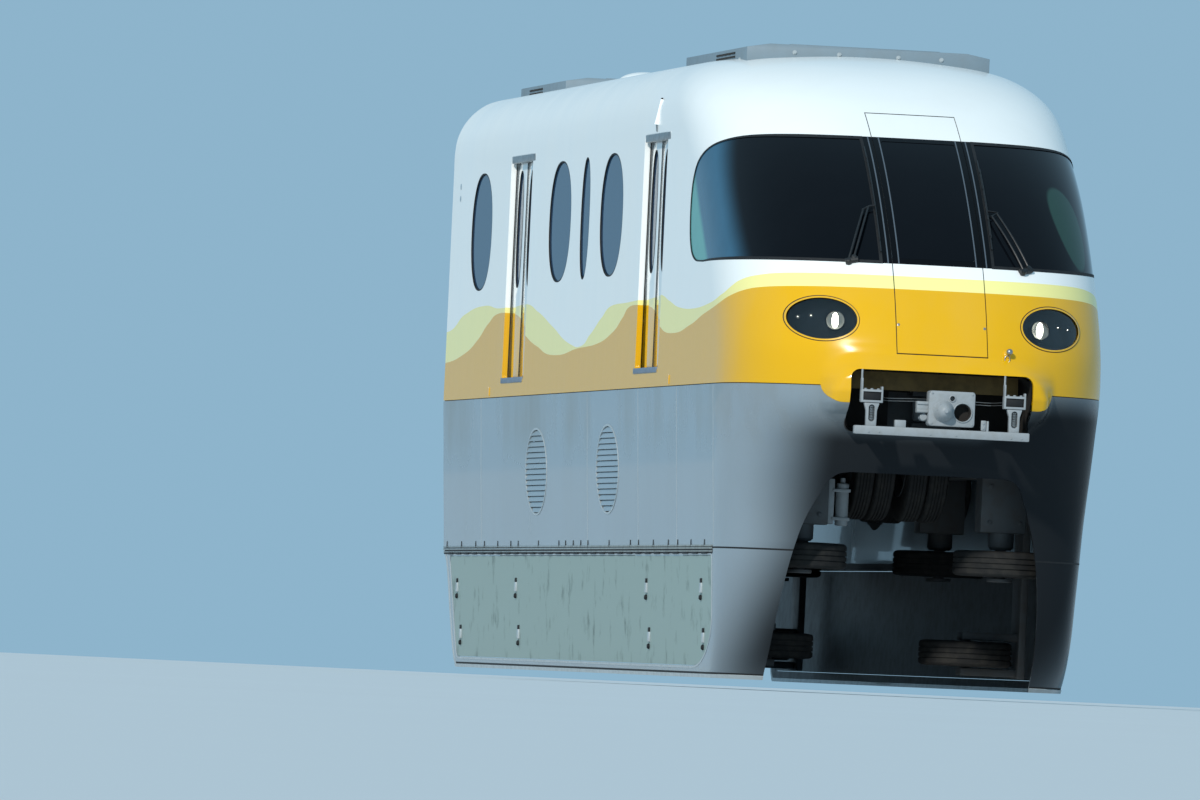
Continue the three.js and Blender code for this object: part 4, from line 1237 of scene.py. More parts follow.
@dataclass
class Coupling:
    """Coupler head on its drawbar, the step bar and the two spring hangers."""

    bar: tuple[Point, Point] = ((-0.69, -7.59, 0.632), (0.672, -7.525, 0.697))
    head: tuple[float, float, float, float] = (-0.114, 0.245, 0.72, 0.99)
    head_front: float = -7.56
    hangers: tuple[float, ...] = (-0.56, 0.552)

    def build_bar(self) -> None:
        """Step bar with its bolts, arms, block and angle bracket."""
        low, high = self.bar
        form = Form.prism(Axis.Y, rounded(low[0], high[0], low[2], high[2], 0.008, 3), low[1], high[1], 0.004)
        for x in self.hangers:
            form.plus(Form.block((x - 0.04, -7.56, 0.658), (x + 0.04, -6.5, 0.6995), 0.004))
        form.plus(Form.block((-0.376, -7.585, 0.69), (-0.291, -7.53, 0.752), 0.006),
                  Form.block((0.292, -7.588, 0.7), (0.33, -7.575, 0.778), 0.004),
                  Form.block((0.335, -7.588, 0.64), (0.352, -7.54, 0.775), 0.004))
        for x in (-0.58, -0.5, -0.1, 0.1, 0.53, 0.61):
            form.plus(Form.bolt((x, low[1], 0.652), (0, -1, 0), 0.007))
        for z in (0.72, 0.755):
            form.plus(Form.bolt((0.311, -7.588, z), (0, -1, 0), 0.008))
        publish(form, "step_bar_rail", CAST, replaces=["step_bar"], slot="unit_grey")

    def build_hangers(self) -> None:
        """Spring hangers: a U bracket, rods up to the hood and a slotted casting with its spring."""
        form, blocks, springs = Form(), Form(), Form()
        for x in self.hangers:
            shape = Form.block((x - 0.085, -7.575, 0.875), (x + 0.085, -7.5, 0.975), 0.006)
            form.plus(shape.carved(Form.block((x - 0.07, -7.6, 0.893), (x + 0.07, -7.4, 0.958))))
            blocks.plus(Form.block((x - 0.066, -7.565, 0.895), (x + 0.066, -7.51, 0.956), 0.008))
            for dx in (-0.05, 0.0, 0.05):
                form.plus(Form.bolt((x + dx, -7.545, 0.975), (0, 0, 1), 0.011))
            form.plus(Form.block((x - 0.085, -7.57, 0.97), (x - 0.072, -7.51, 1.06), 0.003),
                      Form.block((x + 0.072, -7.57, 0.97), (x + 0.085, -7.51, 1.0), 0.003),
                      Form.rod((x - 0.079, -7.54, 1.05), (x - 0.079, -7.54, 1.128), 0.008))
            plan = [(x - 0.06, 0.872), (x + 0.06, 0.872), (x + 0.042, 0.815), (x + 0.04, 0.694),
                    (x - 0.04, 0.694), (x - 0.042, 0.815)]
            casting = Form.prism(Axis.Y, plan, -7.575, -7.525, 0.006)
            casting.carved(Form.prism(Axis.Y, rounded(x - 0.024, x + 0.024, 0.73, 0.86, 0.0235), -7.7, -7.54))
            form.plus(casting)
            turns = [(x + 0.017 * math.cos(t), -7.552 + 0.012 * math.sin(t),
                      0.742 + 0.105 * t / (math.tau * 8))
                     for t in np.linspace(0, math.tau * 8, 97)]
            springs.plus(Form.sweep(turns, 0.0035, 6))
        publish(form, "coupler_hangers", CAST)
        publish(blocks, "hanger_rubber_blocks", RUBBER)
        publish(springs, "hanger_springs", ZINC)

    def build_head(self) -> None:
        """Coupler head plate with its cone, round socket, side box and drawbar."""
        x0, x1, z0, z1 = self.head
        front = self.head_front
        plate = Form.prism(Axis.Y, rounded(x0, x1, z0, z1, 0.022), front, -7.44, 0.006)
        plate.carved(Form.rod((0.15, -7.7, 0.83), (0.15, -7.468, 0.83), 0.068, 48))
        plate.carved(Form.rod((0.066, -7.7, 0.935), (0.066, -7.5, 0.935), 0.02, 24))
        plate.plus(Form.turned(((0.068, 0), (0.076, 0.0), (0.078, 0.006), (0.072, 0.01), (0.068, 0.006),
                                (0.068, 0)),
                               (0.15, front, 0.83), (0, -1, 0), 48))
        plate.plus(Form.turned(((0.02, 0), (0.027, 0.0), (0.027, 0.006), (0.02, 0.008), (0.02, 0)),
                               (0.066, front, 0.935), (0, -1, 0), 24))
        cone = [(0, 0), (0.082, 0), (0.083, 0.008), (0.079, 0.014), (0.07, 0.04), (0.055, 0.075), (0.04, 0.1),
                (0.026, 0.113), (0.018, 0.116), (0.018, 0.126), (0.014, 0.13), (0, 0.13)]
        plate.plus(Form.turned(cone, (0.0, front, 0.835), (0, -1, 0), 48))
        for turn in (2.2, 3.0, 3.9, 5.2):
            away = Vector((math.cos(turn), 0, math.sin(turn)))
            plate.plus(Form.turned(((0, 0), (0.006, 0), (0.006, 0.004), (0, 0.004)),
                                   Vector((0, front - 0.062, 0.835)) + away * 0.0605,
                                   away + Vector((0, -0.6, 0)), 12))
        box = Form.block((-0.2, -7.52, 0.815), (-0.106, -7.45, 0.905), 0.006)
        for z in (0.83, 0.89):
            box.plus(Form.block((-0.2, -7.53, z - 0.01), (-0.106, -7.52, z + 0.01), 0.003))
        plate.plus(box, Form.rod((-0.14, -7.5, 0.785), (-0.14, -7.42, 0.785), 0.03, 24),
                   Form.block((-0.04, -7.48, 0.8), (0.06, -6.76, 0.89), 0.008),
                   Form.rod((0, -6.76, 0.76), (0, -6.76, 0.94), 0.088, 32))
        for x, z in ((-0.09, 0.74), (0.222, 0.74), (0.222, 0.97), (-0.09, 0.97)):
            plate.plus(Form.bolt((x, front, z), (0, -1, 0), 0.007))
        publish(plate, "coupler_head", CAST, "coupler", ["coupler"], "unit_grey")
        # Liner painted dark for the shade inside the socket
        dark = Form.turned(((0.06, 0.012), (0.066, 0.012), (0.0665, 0.086), (0, 0.086), (0, 0.08),
                            (0.06, 0.08), (0.06, 0.012)), (0.15, front, 0.83), (0, 1, 0), 40)
        publish(dark, "coupler_socket_liner", RECESS_SHADE, "coupler")
        rods = Form()
        bends = ((-0.477, -7.51, 0.903), (-0.44, -7.42, 0.9), (-0.4, -7.35, 0.899), (-0.2, -7.345, 0.904),
                 (0.0, -7.345, 0.908), (0.2, -7.345, 0.904), (0.4, -7.35, 0.899), (0.435, -7.42, 0.9),
                 (0.469, -7.51, 0.903))
        for rise in (0.0, 0.02):
            path = [(x, y, z + rise) for x, y, z in bends]
            rods.plus(Form.sweep(smooth_rows(path, 4).tolist(), 0.003, 6))
        publish(rods, "hanger_stay_rods", ZINC)

    def build(self) -> None:
        """Builds the coupling."""
        self.build_bar()
        self.build_hangers()
        self.build_head()


@dataclass
class Skirts:
    """Deep skirts over the beam's sides: skins, access panels, clip rails, catches and vents."""

    hull: Hull
    shell: BodyShell
    rear_slant: Outline = ((7.421, -0.27), (7.27, -0.38), (7.1, -0.76), (6.93, -1.1), (6.86, -1.2),
                           (6.73, -1.281))
    panel: tuple[float, float, float, float] = (-5.76, 7.06, -1.19, -0.33)
    catches: Outline = ((6.68, -0.605), (3.59, -0.597), (-2.8, -0.594), (-5.29, -0.59), (6.48, -1.0),
                        (3.44, -0.99), (-2.94, -0.982), (-5.4, -0.977))
    bars: tuple[float, ...] = (-2.41, -4.19, 0.01, 5.4, -5.83)
    # Uneven places of the clip rail's upright pins
    pins: tuple[float, ...] = (
        7.22, 6.44, 5.68, 5.22, 4.52, 3.84, 3.46, 2.43, 1.4, 1.07, 0.69, 0.32, -0.03, -1.05, -2.06, -2.44,
        -3.13, -3.82, -4.25, -4.85, -5.45)

    def panel_outline(self, spare: float = 0.0) -> Outline:
        """Access panel outline in Y and Z, larger all round by a spare width."""
        y0, y1, z0, z1 = self.panel
        y0, y1, z0, z1 = y0 - spare, y1 + spare, z0 - spare, z1 + spare
        rear = 0.16 + spare

        def bend(y: float, z: float, radius: float, start: float, end: float) -> Outline:
            """Nine points of an arc about a centre, between two angles."""
            return [(y + radius * math.cos(t), z + radius * math.sin(t)) for t in np.linspace(start, end, 9)]

        corner = [(y0 + (0.85 + spare) * (1 - math.sin(t)), z0 + (0.4 + spare) * (1 - math.cos(t)))
                  for t in np.linspace(math.pi / 2, 0, 15)]
        return [*corner,
                *bend(y1 - 0.3 - rear, z0 + rear, rear, 1.5 * math.pi, 1.92 * math.pi),
                (y1 - 0.22, z0 + 0.3), *bend(y1 - 0.05, z1 - 0.05, 0.05, -0.1, math.pi / 2),
                *bend(y0 + 0.05, z1 - 0.05, 0.05, math.pi / 2, math.pi)]

    def panel_cut(self, spare: float) -> Form:
        """Prism through the left access panel's opening."""
        return Form.prism(Axis.X, self.panel_outline(spare), 1.2, 1.6)

    def slant_cut(self) -> Form:
        """Prism behind the skirt's slanting rear edge."""
        rows = [tuple(r) for r in smooth_rows(self.rear_slant, 3)]
        return Form.prism(Axis.X, [*rows, (6.7, -1.4), (7.6, -1.4), (7.6, -0.2)], -1.6, 1.6)

    def build_side(self, side: str, sign: int) -> None:
        """One side's skirt with its panel, rims, rear edge, lip and groove."""
        low, high = (0.0, None, None), (None, None, -0.2705)
        skirt = self.hull.plate(low, high, 0.02).carved(self.slant_cut(), self.shell.arch_cut())
        skirt.carved(self.panel_cut(0.0))
        self.hull.clad(skirt.on(sign), f"skirt_skin_{side}", GREY, replaces=[f"skirt_{side}"],
                       slot="body_grey", lining=STEEL)
        panel = self.hull.plate((0.5, None, None), high, 0.012, 0.004)
        panel.carved(self.panel_cut(-0.003), keep=True)
        self.hull.clad(panel.on(sign), f"access_panel_{side}", PANEL, replaces=[f"skirt_panel_{side}"],
                       slot="skirt_panel", lining=STEEL)
        rim = self.hull.inlay((0.5, None, None), high, 0.012, -0.003, self.panel_cut(0.02),
                              self.panel_cut(0.004))
        publish(rim.on(sign), f"panel_rim_{side}", RIM_GREY)
        rows = [tuple(r) for r in smooth_rows(self.rear_slant, 3)]
        strip = Form.prism(Axis.X, [*rows, *((y - 0.045, z + 0.012) for y, z in reversed(rows))], 1.0, 1.6)
        edge = self.hull.plate((0.5, 6.4, None), (None, None, -0.2705), 0.024, -0.003)
        edge.carved(strip, keep=True)
        publish(edge.on(sign), f"skirt_rear_edge_{side}", RIM_GREY)
        lip = self.hull.plate((0, None, -1.28), (None, None, -1.252), 0.03, -0.008)
        lip.carved(self.slant_cut(), self.shell.arch_cut())
        publish(lip.on(sign), f"skirt_lip_{side}", RIM_GREY)
        groove = self.hull.plate((0, None, -1.262), (None, None, -1.236), 0.004, -0.0006)
        groove.carved(self.slant_cut(), self.shell.arch_cut())
        publish(groove.on(sign), f"skirt_groove_{side}", RUBBER)

    def build_rail(self, side: str, sign: int) -> None:
        """Clip rail between the side and the skirt, with its uneven row of upright pins."""
        x = 1.4305
        rail = Form.block((x - 0.02, -5.8, -0.264), (x + 0.006, 7.4, -0.25), 0.003)
        rail.plus(Form.block((x - 0.02, -5.8, -0.283), (x + 0.008, 7.4, -0.269), 0.004),
                  Form.block((x - 0.02, -5.8, -0.305), (x + 0.004, 7.4, -0.294), 0.003))
        gap = Form.block((x - 0.03, -5.8, -0.318), (x + 0.0015, 7.38, -0.256))
        for y in self.pins:
            gap.plus(Form.block((x, y - 0.005, -0.266), (x + 0.007, y + 0.005, -0.208), 0.002))
        for y in np.arange(-5.6, 7.3, 0.43):
            gap.plus(Form.block((x + 0.003, y, -0.322), (x + 0.01, y + 0.24, -0.307), 0.003))
        publish(rail.on(sign), f"clip_rail_{side}", RAIL)
        publish(gap.on(sign), f"clip_rail_gap_{side}", RUBBER)

    def build_catches(self, side: str, sign: int) -> None:
        """Panel catches: a white tab with a dark notch above and a dark knob below."""
        tabs, knobs = Form(), Form()
        for y, z in self.catches:
            x = self.hull.side(y, z).x
            tabs.plus(Form.block((x - 0.01, y - 0.035, z - 0.035), (x + 0.01, y + 0.035, z + 0.045), 0.006))
            knobs.plus(Form.block((x - 0.01, y - 0.03, z + 0.045), (x + 0.009, y + 0.03, z + 0.08), 0.004),
                       Form.turned(((0, 0), (0.022, 0), (0.022, 0.01), (0.014, 0.018), (0, 0.018)),
                                   (x - 0.004, y, z - 0.07), (1, 0, 0), 16))
        publish(tabs.on(sign), f"panel_catch_tabs_{side}", RIM_GREY)
        publish(knobs.on(sign), f"panel_catch_knobs_{side}", RUBBER)

    def build_vents(self, side: str, sign: int) -> None:
        """Oval vents with tilted louvre slats, a light rim and a back painted dark for the shade inside."""
        slats, rims, backs = Form(), Form(), Form()
        for y in self.shell.vents:
            blades = Form()
            for i in range(15):
                z = self.shell.vent[0] - 0.34 + 0.68 * (i + 0.5) / 15
                x = self.hull.side(y, z).x
                section = [(x - 0.012, z + 0.019), (x - 0.0065, z + 0.0225), (x + 0.005, z - 0.018),
                           (x + 0.0015, z - 0.0205)]
                blades.plus(Form.prism(Axis.Y, section, y - 0.6, y + 0.6))
            slats.plus(blades.carved(self.shell.vent_cut(y), keep=True))
            rims.plus(self.hull.inlay((1.2, y - 0.7, -0.1), (None, y + 0.7, 0.8), 0.02, -0.004,
                                      self.shell.vent_cut(y, 0.013), self.shell.vent_cut(y, -0.004)))
            backs.plus(self.shell.vent_cut(y, 0.025, (1.41, 1.42), 48))
        publish(slats.on(sign), f"vent_slats_{side}", GREY, slot="body_grey")
        publish(rims.on(sign), f"vent_rims_{side}", RIM_GREY)
        publish(backs.on(sign), f"vent_backs_{side}", RECESS_SHADE)

    def build_bars(self, side: str, sign: int) -> None:
        """Slim upright cover strips on the grey side."""
        form = Form()
        for y in self.bars:
            form.plus(self.hull.plate((1.0, y - 0.005, -0.24), (None, y + 0.005, 0.985), 0.003, -0.0012))
        publish(form.on(sign), f"side_cover_strips_{side}", RIM_GREY)

    def build(self) -> None:
        """Builds both sides, and the dark joints at waist height and under the chin."""
        for side, sign in SIDES.items():
            self.build_side(side, sign)
            self.build_rail(side, sign)
            self.build_catches(side, sign)
            self.build_vents(side, sign)
            self.build_bars(side, sign)
            drains = Form()
            for y in (4.99, -3.83):
                drains.plus(Form.block((1.4885, y - 0.012, 1.012), (1.4965, y + 0.012, 1.085), 0.003))
            publish(drains.on(sign), f"waist_drains_{side}", YELLOW)
        joint = self.hull.plate((None, None, 0.985), (None, None, 1.01), 0.02, 0.01)
        joint.carved(Form.block((-0.91, -8, 0.9), (0.91, -7, 1.1)))
        publish(joint, "waist_joint", RUBBER)
        line = self.hull.plate((None, None, -0.277), (None, -5.8, -0.264), 0.004, -0.0008)
        publish(line.carved(self.shell.arch_cut()), "chin_joint_line", RUBBER)


@dataclass
class Doorways:
    """Sliding door leaves, the trim round each doorway, cone lamps and rear markers."""

    shell: BodyShell
    leaf_in: float = 1.4
    leaf_out: float = 1.44
    leaf_z: tuple[float, float] = (1.136, 3.05)
    seam_gap: float = 0.003
    lap: float = 0.02
    pane: tuple[float, float, float] = (0.14, 0.49, 2.405)

    def build_leaf(self, name: str, side: str, sign: int, seam: float, half: float, end: str) -> None:
        """One leaf with its oval pane, gasket and rubber edge."""
        way = -1 if end == "fore" else 1
        near, far = seam + way * self.seam_gap, seam + way * (half + self.lap)
        y0, y1 = sorted((near, far))
        middle = (y0 + y1) / 2 - way * self.lap / 2
        rise_y, rise_z, z = self.pane
        hole = oval(middle, z, rise_y, rise_z, 64, 2.6)
        small = oval(middle, z, rise_y - 0.012, rise_z - 0.012, 64, 2.6)
        body = f"leaf_{name}_{end}_{side}"
        leaf = Form.block((self.leaf_in, y0, self.leaf_z[0]), (self.leaf_out, y1, self.leaf_z[1]), 0.004)
        leaf.carved(Form.prism(Axis.X, hole, *WALL_CUT))
        publish(leaf.on(sign), f"door_{body}", LEAF, body, [body], "body_white")
        rubber = Form.ring(Axis.X, oval(middle, z, rise_y + 0.002, rise_z + 0.002, 64, 2.6), small, 1.401,
                           1.4415)
        edge = sorted((near + way * 0.0005, near + way * 0.012))
        rubber.plus(Form.block((1.402, edge[0], self.leaf_z[0] + 0.004),
                               (1.4408, edge[1], self.leaf_z[1] - 0.004)))
        publish(rubber.on(sign), f"door_rubber_{body}", RUBBER, body)
        pane = Form.prism(Axis.X, oval(middle, z, rise_y - 0.006, rise_z - 0.006, 64, 2.6), 1.422, 1.43)
        publish(pane.on(sign), f"door_pane_{body}", SIDE_GLASS, body, slot="dark_glass")

    def build_trim(self, name: str, side: str, sign: int, seam: float, half: float) -> None:
        """Jamb lining, seal, threshold plate and lintel cap of one doorway."""
        low, high = self.shell.floor, self.shell.door_top
        outer = rounded(seam - half, seam + half, low, high, 0.06)
        inner = rounded(seam - half + 0.008, seam + half - 0.008, low + 0.006, high - 0.008, 0.054)
        publish(Form.ring(Axis.X, outer, inner, 1.4456, 1.4885).on(sign), f"door_jamb_{name}_{side}", LIVERY)
        inmost = rounded(seam - half + 0.018, seam + half - 0.018, low + 0.014, high - 0.018, 0.05)
        seal = Form.ring(Axis.X, inner, inmost, 1.4456, 1.4466)
        publish(seal.on(sign), f"door_seal_{name}_{side}", RUBBER)
        plate = Form.block((1.46, seam - 0.49, 1.113), (1.498, seam + 0.575, 1.157), 0.004)
        publish(plate.on(sign), f"threshold_plate_{name}_{side}", SILL_GREY)
        # The cap's grey is partly painted shade on the doorway's top reveal
        cap = Form.block((1.4465, seam - half - 0.12, 2.958), (1.493, seam + half - 0.04, high - 0.004),
                         0.003)
        publish(cap.on(sign), f"lintel_cap_{name}_{side}", ZINC)

    def build_lamp(self, side: str, sign: int) -> None:
        """Cone lamp over the front doorway."""
        y, z = self.shell.doorways[0][1] - 0.02, 3.085
        at = (1.486, y, z)
        fitting = Form.turned(((0, -0.055), (0.012, -0.055), (0.016, -0.04), (0.02, -0.006), (0.02, 0.002),
                               (0, 0.002)),
                              at, (0, 0, 1), 20)
        fitting.plus(Form.block((1.45, y - 0.01, z - 0.05), (1.48, y + 0.01, z - 0.02), 0.003))
        publish(fitting.on(sign), f"door_lamp_fitting_{side}", ZINC)
        lean = (-0.1, 0, 1)
        cone = Form.turned(((0, 0), (0.032, 0), (0.034, 0.004), (0.03, 0.02), (0.01, 0.205), (0, 0.205)), at,
                           lean, 24)
        publish(cone.on(sign), f"door_lamp_cone_{side}", LAMP_WHITE)
        tip = Form.turned(((0, 0.203), (0.0095, 0.203), (0.009, 0.214), (0.004, 0.219), (0, 0.219)), at, lean,
                          16)
        publish(tip.on(sign), f"door_lamp_tip_{side}", RUBBER)

    def build(self) -> None:
        """Builds every doorway on both sides, and the rear marker lamps."""
        for side, sign in SIDES.items():
            for name, seam, half in self.shell.doorways:
                for end in ("fore", "aft"):
                    self.build_leaf(name, side, sign, seam, half, end)
                self.build_trim(name, side, sign, seam, half)
            self.build_lamp(side, sign)
            markers = Form()
            for z in (2.83, 2.727):
                markers.plus(Form.turned(((0, 0), (0.028, 0), (0.028, 0.005), (0.02, 0.009), (0, 0.01)),
                                         (1.486, 6.99, z), (1, 0, 0), 24))
            publish(markers.on(sign), f"rear_markers_{side}", MARKER)


@dataclass
class SideWindows:
    """Oval side window panes with black gaskets."""

    shell: BodyShell

    def build(self) -> None:
        """Builds the panes and gaskets of both sides."""
        z, rise = self.shell.window_z, self.shell.window_rise
        for side, sign in SIDES.items():
            gaskets, panes = {}, {}
            for y, half in self.shell.windows:
                part = "rear" if y > 4 else "mid"
                gaskets.setdefault(part, Form()).plus(Form.ring(
                    Axis.X, oval(y, z, half + 0.0006, rise + 0.0006, 96, 2.3),
                    oval(y, z, half - 0.012, rise - 0.012, 96, 2.3), 1.4552, 1.4893))
                panes.setdefault(part, Form()).plus(Form.prism(
                    Axis.X, oval(y, z, half - 0.006, rise - 0.006, 96, 2.3), 1.472, 1.478))
            for part in ("mid", "rear"):
                publish(gaskets[part].on(sign), f"window_gaskets_{part}_{side}", RUBBER)
                publish(panes[part].on(sign), f"window_panes_{part}_{side}", SIDE_GLASS,
                        replaces=[f"glazing_{part}_{side}"], slot="dark_glass")


@dataclass
class RoofGear:
    """Low housings on the roof and the aerial dome between them."""

    # Each housing's front and rear end, and the same of its side louvre
    units: tuple[tuple[str, float, float, float, float], ...] = (
        ("front", -3.76, -1.0, -3.24, -2.38), ("rear", 4.88, 7.2, 6.06, 6.78))
    half: float = 0.975
    shoulder: float = 0.79
    top: float = 3.748

    def build_unit(self, name: str, front: float, rear: float, start: float, end: float) -> None:
        """One housing: box with sloping shoulders, fixings, a side louvre and access lids."""
        half, shoulder = self.half, self.shoulder
        section = [(-half, 3.52), (half, 3.52), (half, 3.704), (shoulder, 3.737), (-shoulder, 3.737),
                   (-half, 3.704)]
        lid = Form.prism(Axis.Y, section, front, rear, 0.004)
        slots, fixings = Form(), Form()
        for sign in (-1, 1):
            for row in (3.67, 3.64):
                for y in np.arange(start, end - 0.1, 0.17):
                    slots.plus(Form.block((sign * half - 0.006, y, row - 0.007),
                                          (sign * half + 0.0015, y + 0.15, row + 0.007)))
        for x in (-0.592, -0.234, 0.24, 0.587):
            for y in (front, rear):
                fixings.plus(Form.bolt((x, y, 3.676), (0, -1 if y == front else 1, 0), 0.014))
        for y in np.arange(front + 0.3, rear, 0.6):
            for sign in (-1, 1):
                fixings.plus(Form.bolt((sign * half, y, 3.61), (sign, 0, 0), 0.014))
        for y in np.arange(front + 0.15, rear - 0.6, 0.85):
            lid.plus(Form.block((-0.6, y, 3.736), (0.6, y + 0.7, self.top), 0.004))
        publish(lid, f"roof_housing_{name}", UNIT_GREY, replaces=[f"roof_unit_{name}"], slot="unit_grey")
        # The louvre slots are painted dark for the shade inside them
        publish(slots, f"roof_louvres_{name}", RECESS_SHADE)
        publish(fixings, f"roof_fixings_{name}", RIM_GREY)

    def build(self) -> None:
        """Builds the housings and the dome."""
        for unit in self.units:
            self.build_unit(*unit)
        rows = [(0.235 * math.cos(t), 0.1 * math.sin(t)) for t in np.linspace(0, math.pi / 2, 10)]
        dome = Form.turned([(0, -0.1), (0.235, -0.1), *rows], (-0.46, 3.9, 3.67), steps=36)
        publish(dome, "aerial_dome", WHITE)


@dataclass
class Gangway:
    """Rear wall with its doorway, and the folded bellows with their end frames."""

    hull: Hull
    half: float = 0.72
    low: float = 1.06
    high: float = 3.15
    start: float = 7.4203
    end: float = 7.61
    folds: int = 6

    def build_wall(self) -> None:
        """Flat rear wall, striped like the sides."""
        rows = np.array([(half, z) for z, _, half, _ in smooth_rows(self.hull.STATIONS, 4) if z > 1.0])
        way = np.gradient(rows, axis=0)
        way /= np.linalg.norm(way, axis=1)[:, None]
        inner = rows - np.column_stack([way[:, 1], -way[:, 0]]) * 0.0357
        right = [(a, b) for a, b in inner if a > 0.01]
        outline = [(right[0][0], 1.0005), *right, *((-a, b) for a, b in reversed(right)),
                   (-right[0][0], 1.0005)]
        wall = Form.prism(Axis.Y, outline, 7.38, 7.4198)
        wall.carved(Form.prism(Axis.Y, rounded(-0.6, 0.6, 1.13, 3.03, 0.09), 7.3, 7.5))
        publish(wall, "rear_wall_skin", LIVERY, replaces=["rear_wall"], slot="body_white")

    def build(self) -> None:
        """Builds the wall, the bellows and the clamp frames."""
        self.build_wall()
        pitch = (self.end - self.start - 0.03) / self.folds
        rings = []
        for i in range(self.folds * 2 + 1):
            inset = 0.0 if i % 2 else 0.05
            rings.append([Axis.Y.point(a, b, self.start + 0.012 + pitch * i / 2) for a, b in rounded(
                -self.half + inset, self.half - inset, self.low + inset, self.high - inset,
                0.12 - inset / 2)])
        form = Form.loft(rings, closed=True)
        if form.facing(Vector((0, 7.5, 4))) < 0:
            bmesh.ops.reverse_faces(form.mesh, faces=form.mesh.faces)
        bmesh.ops.solidify(form.mesh, geom=form.mesh.faces[:], thickness=0.006)
        publish(form, "gangway_bellows", RUBBER, replaces=["gangway"], slot="bellows", crease=25)
        frames = Form()
        for y in (self.start, self.end - 0.018):
            frames.plus(Form.ring(Axis.Y, rounded(-self.half, self.half, self.low, self.high, 0.12),
                                  rounded(-0.6, 0.6, 1.13, 3.03, 0.09), y, y + 0.018))
        publish(frames, "gangway_frames", ZINC)


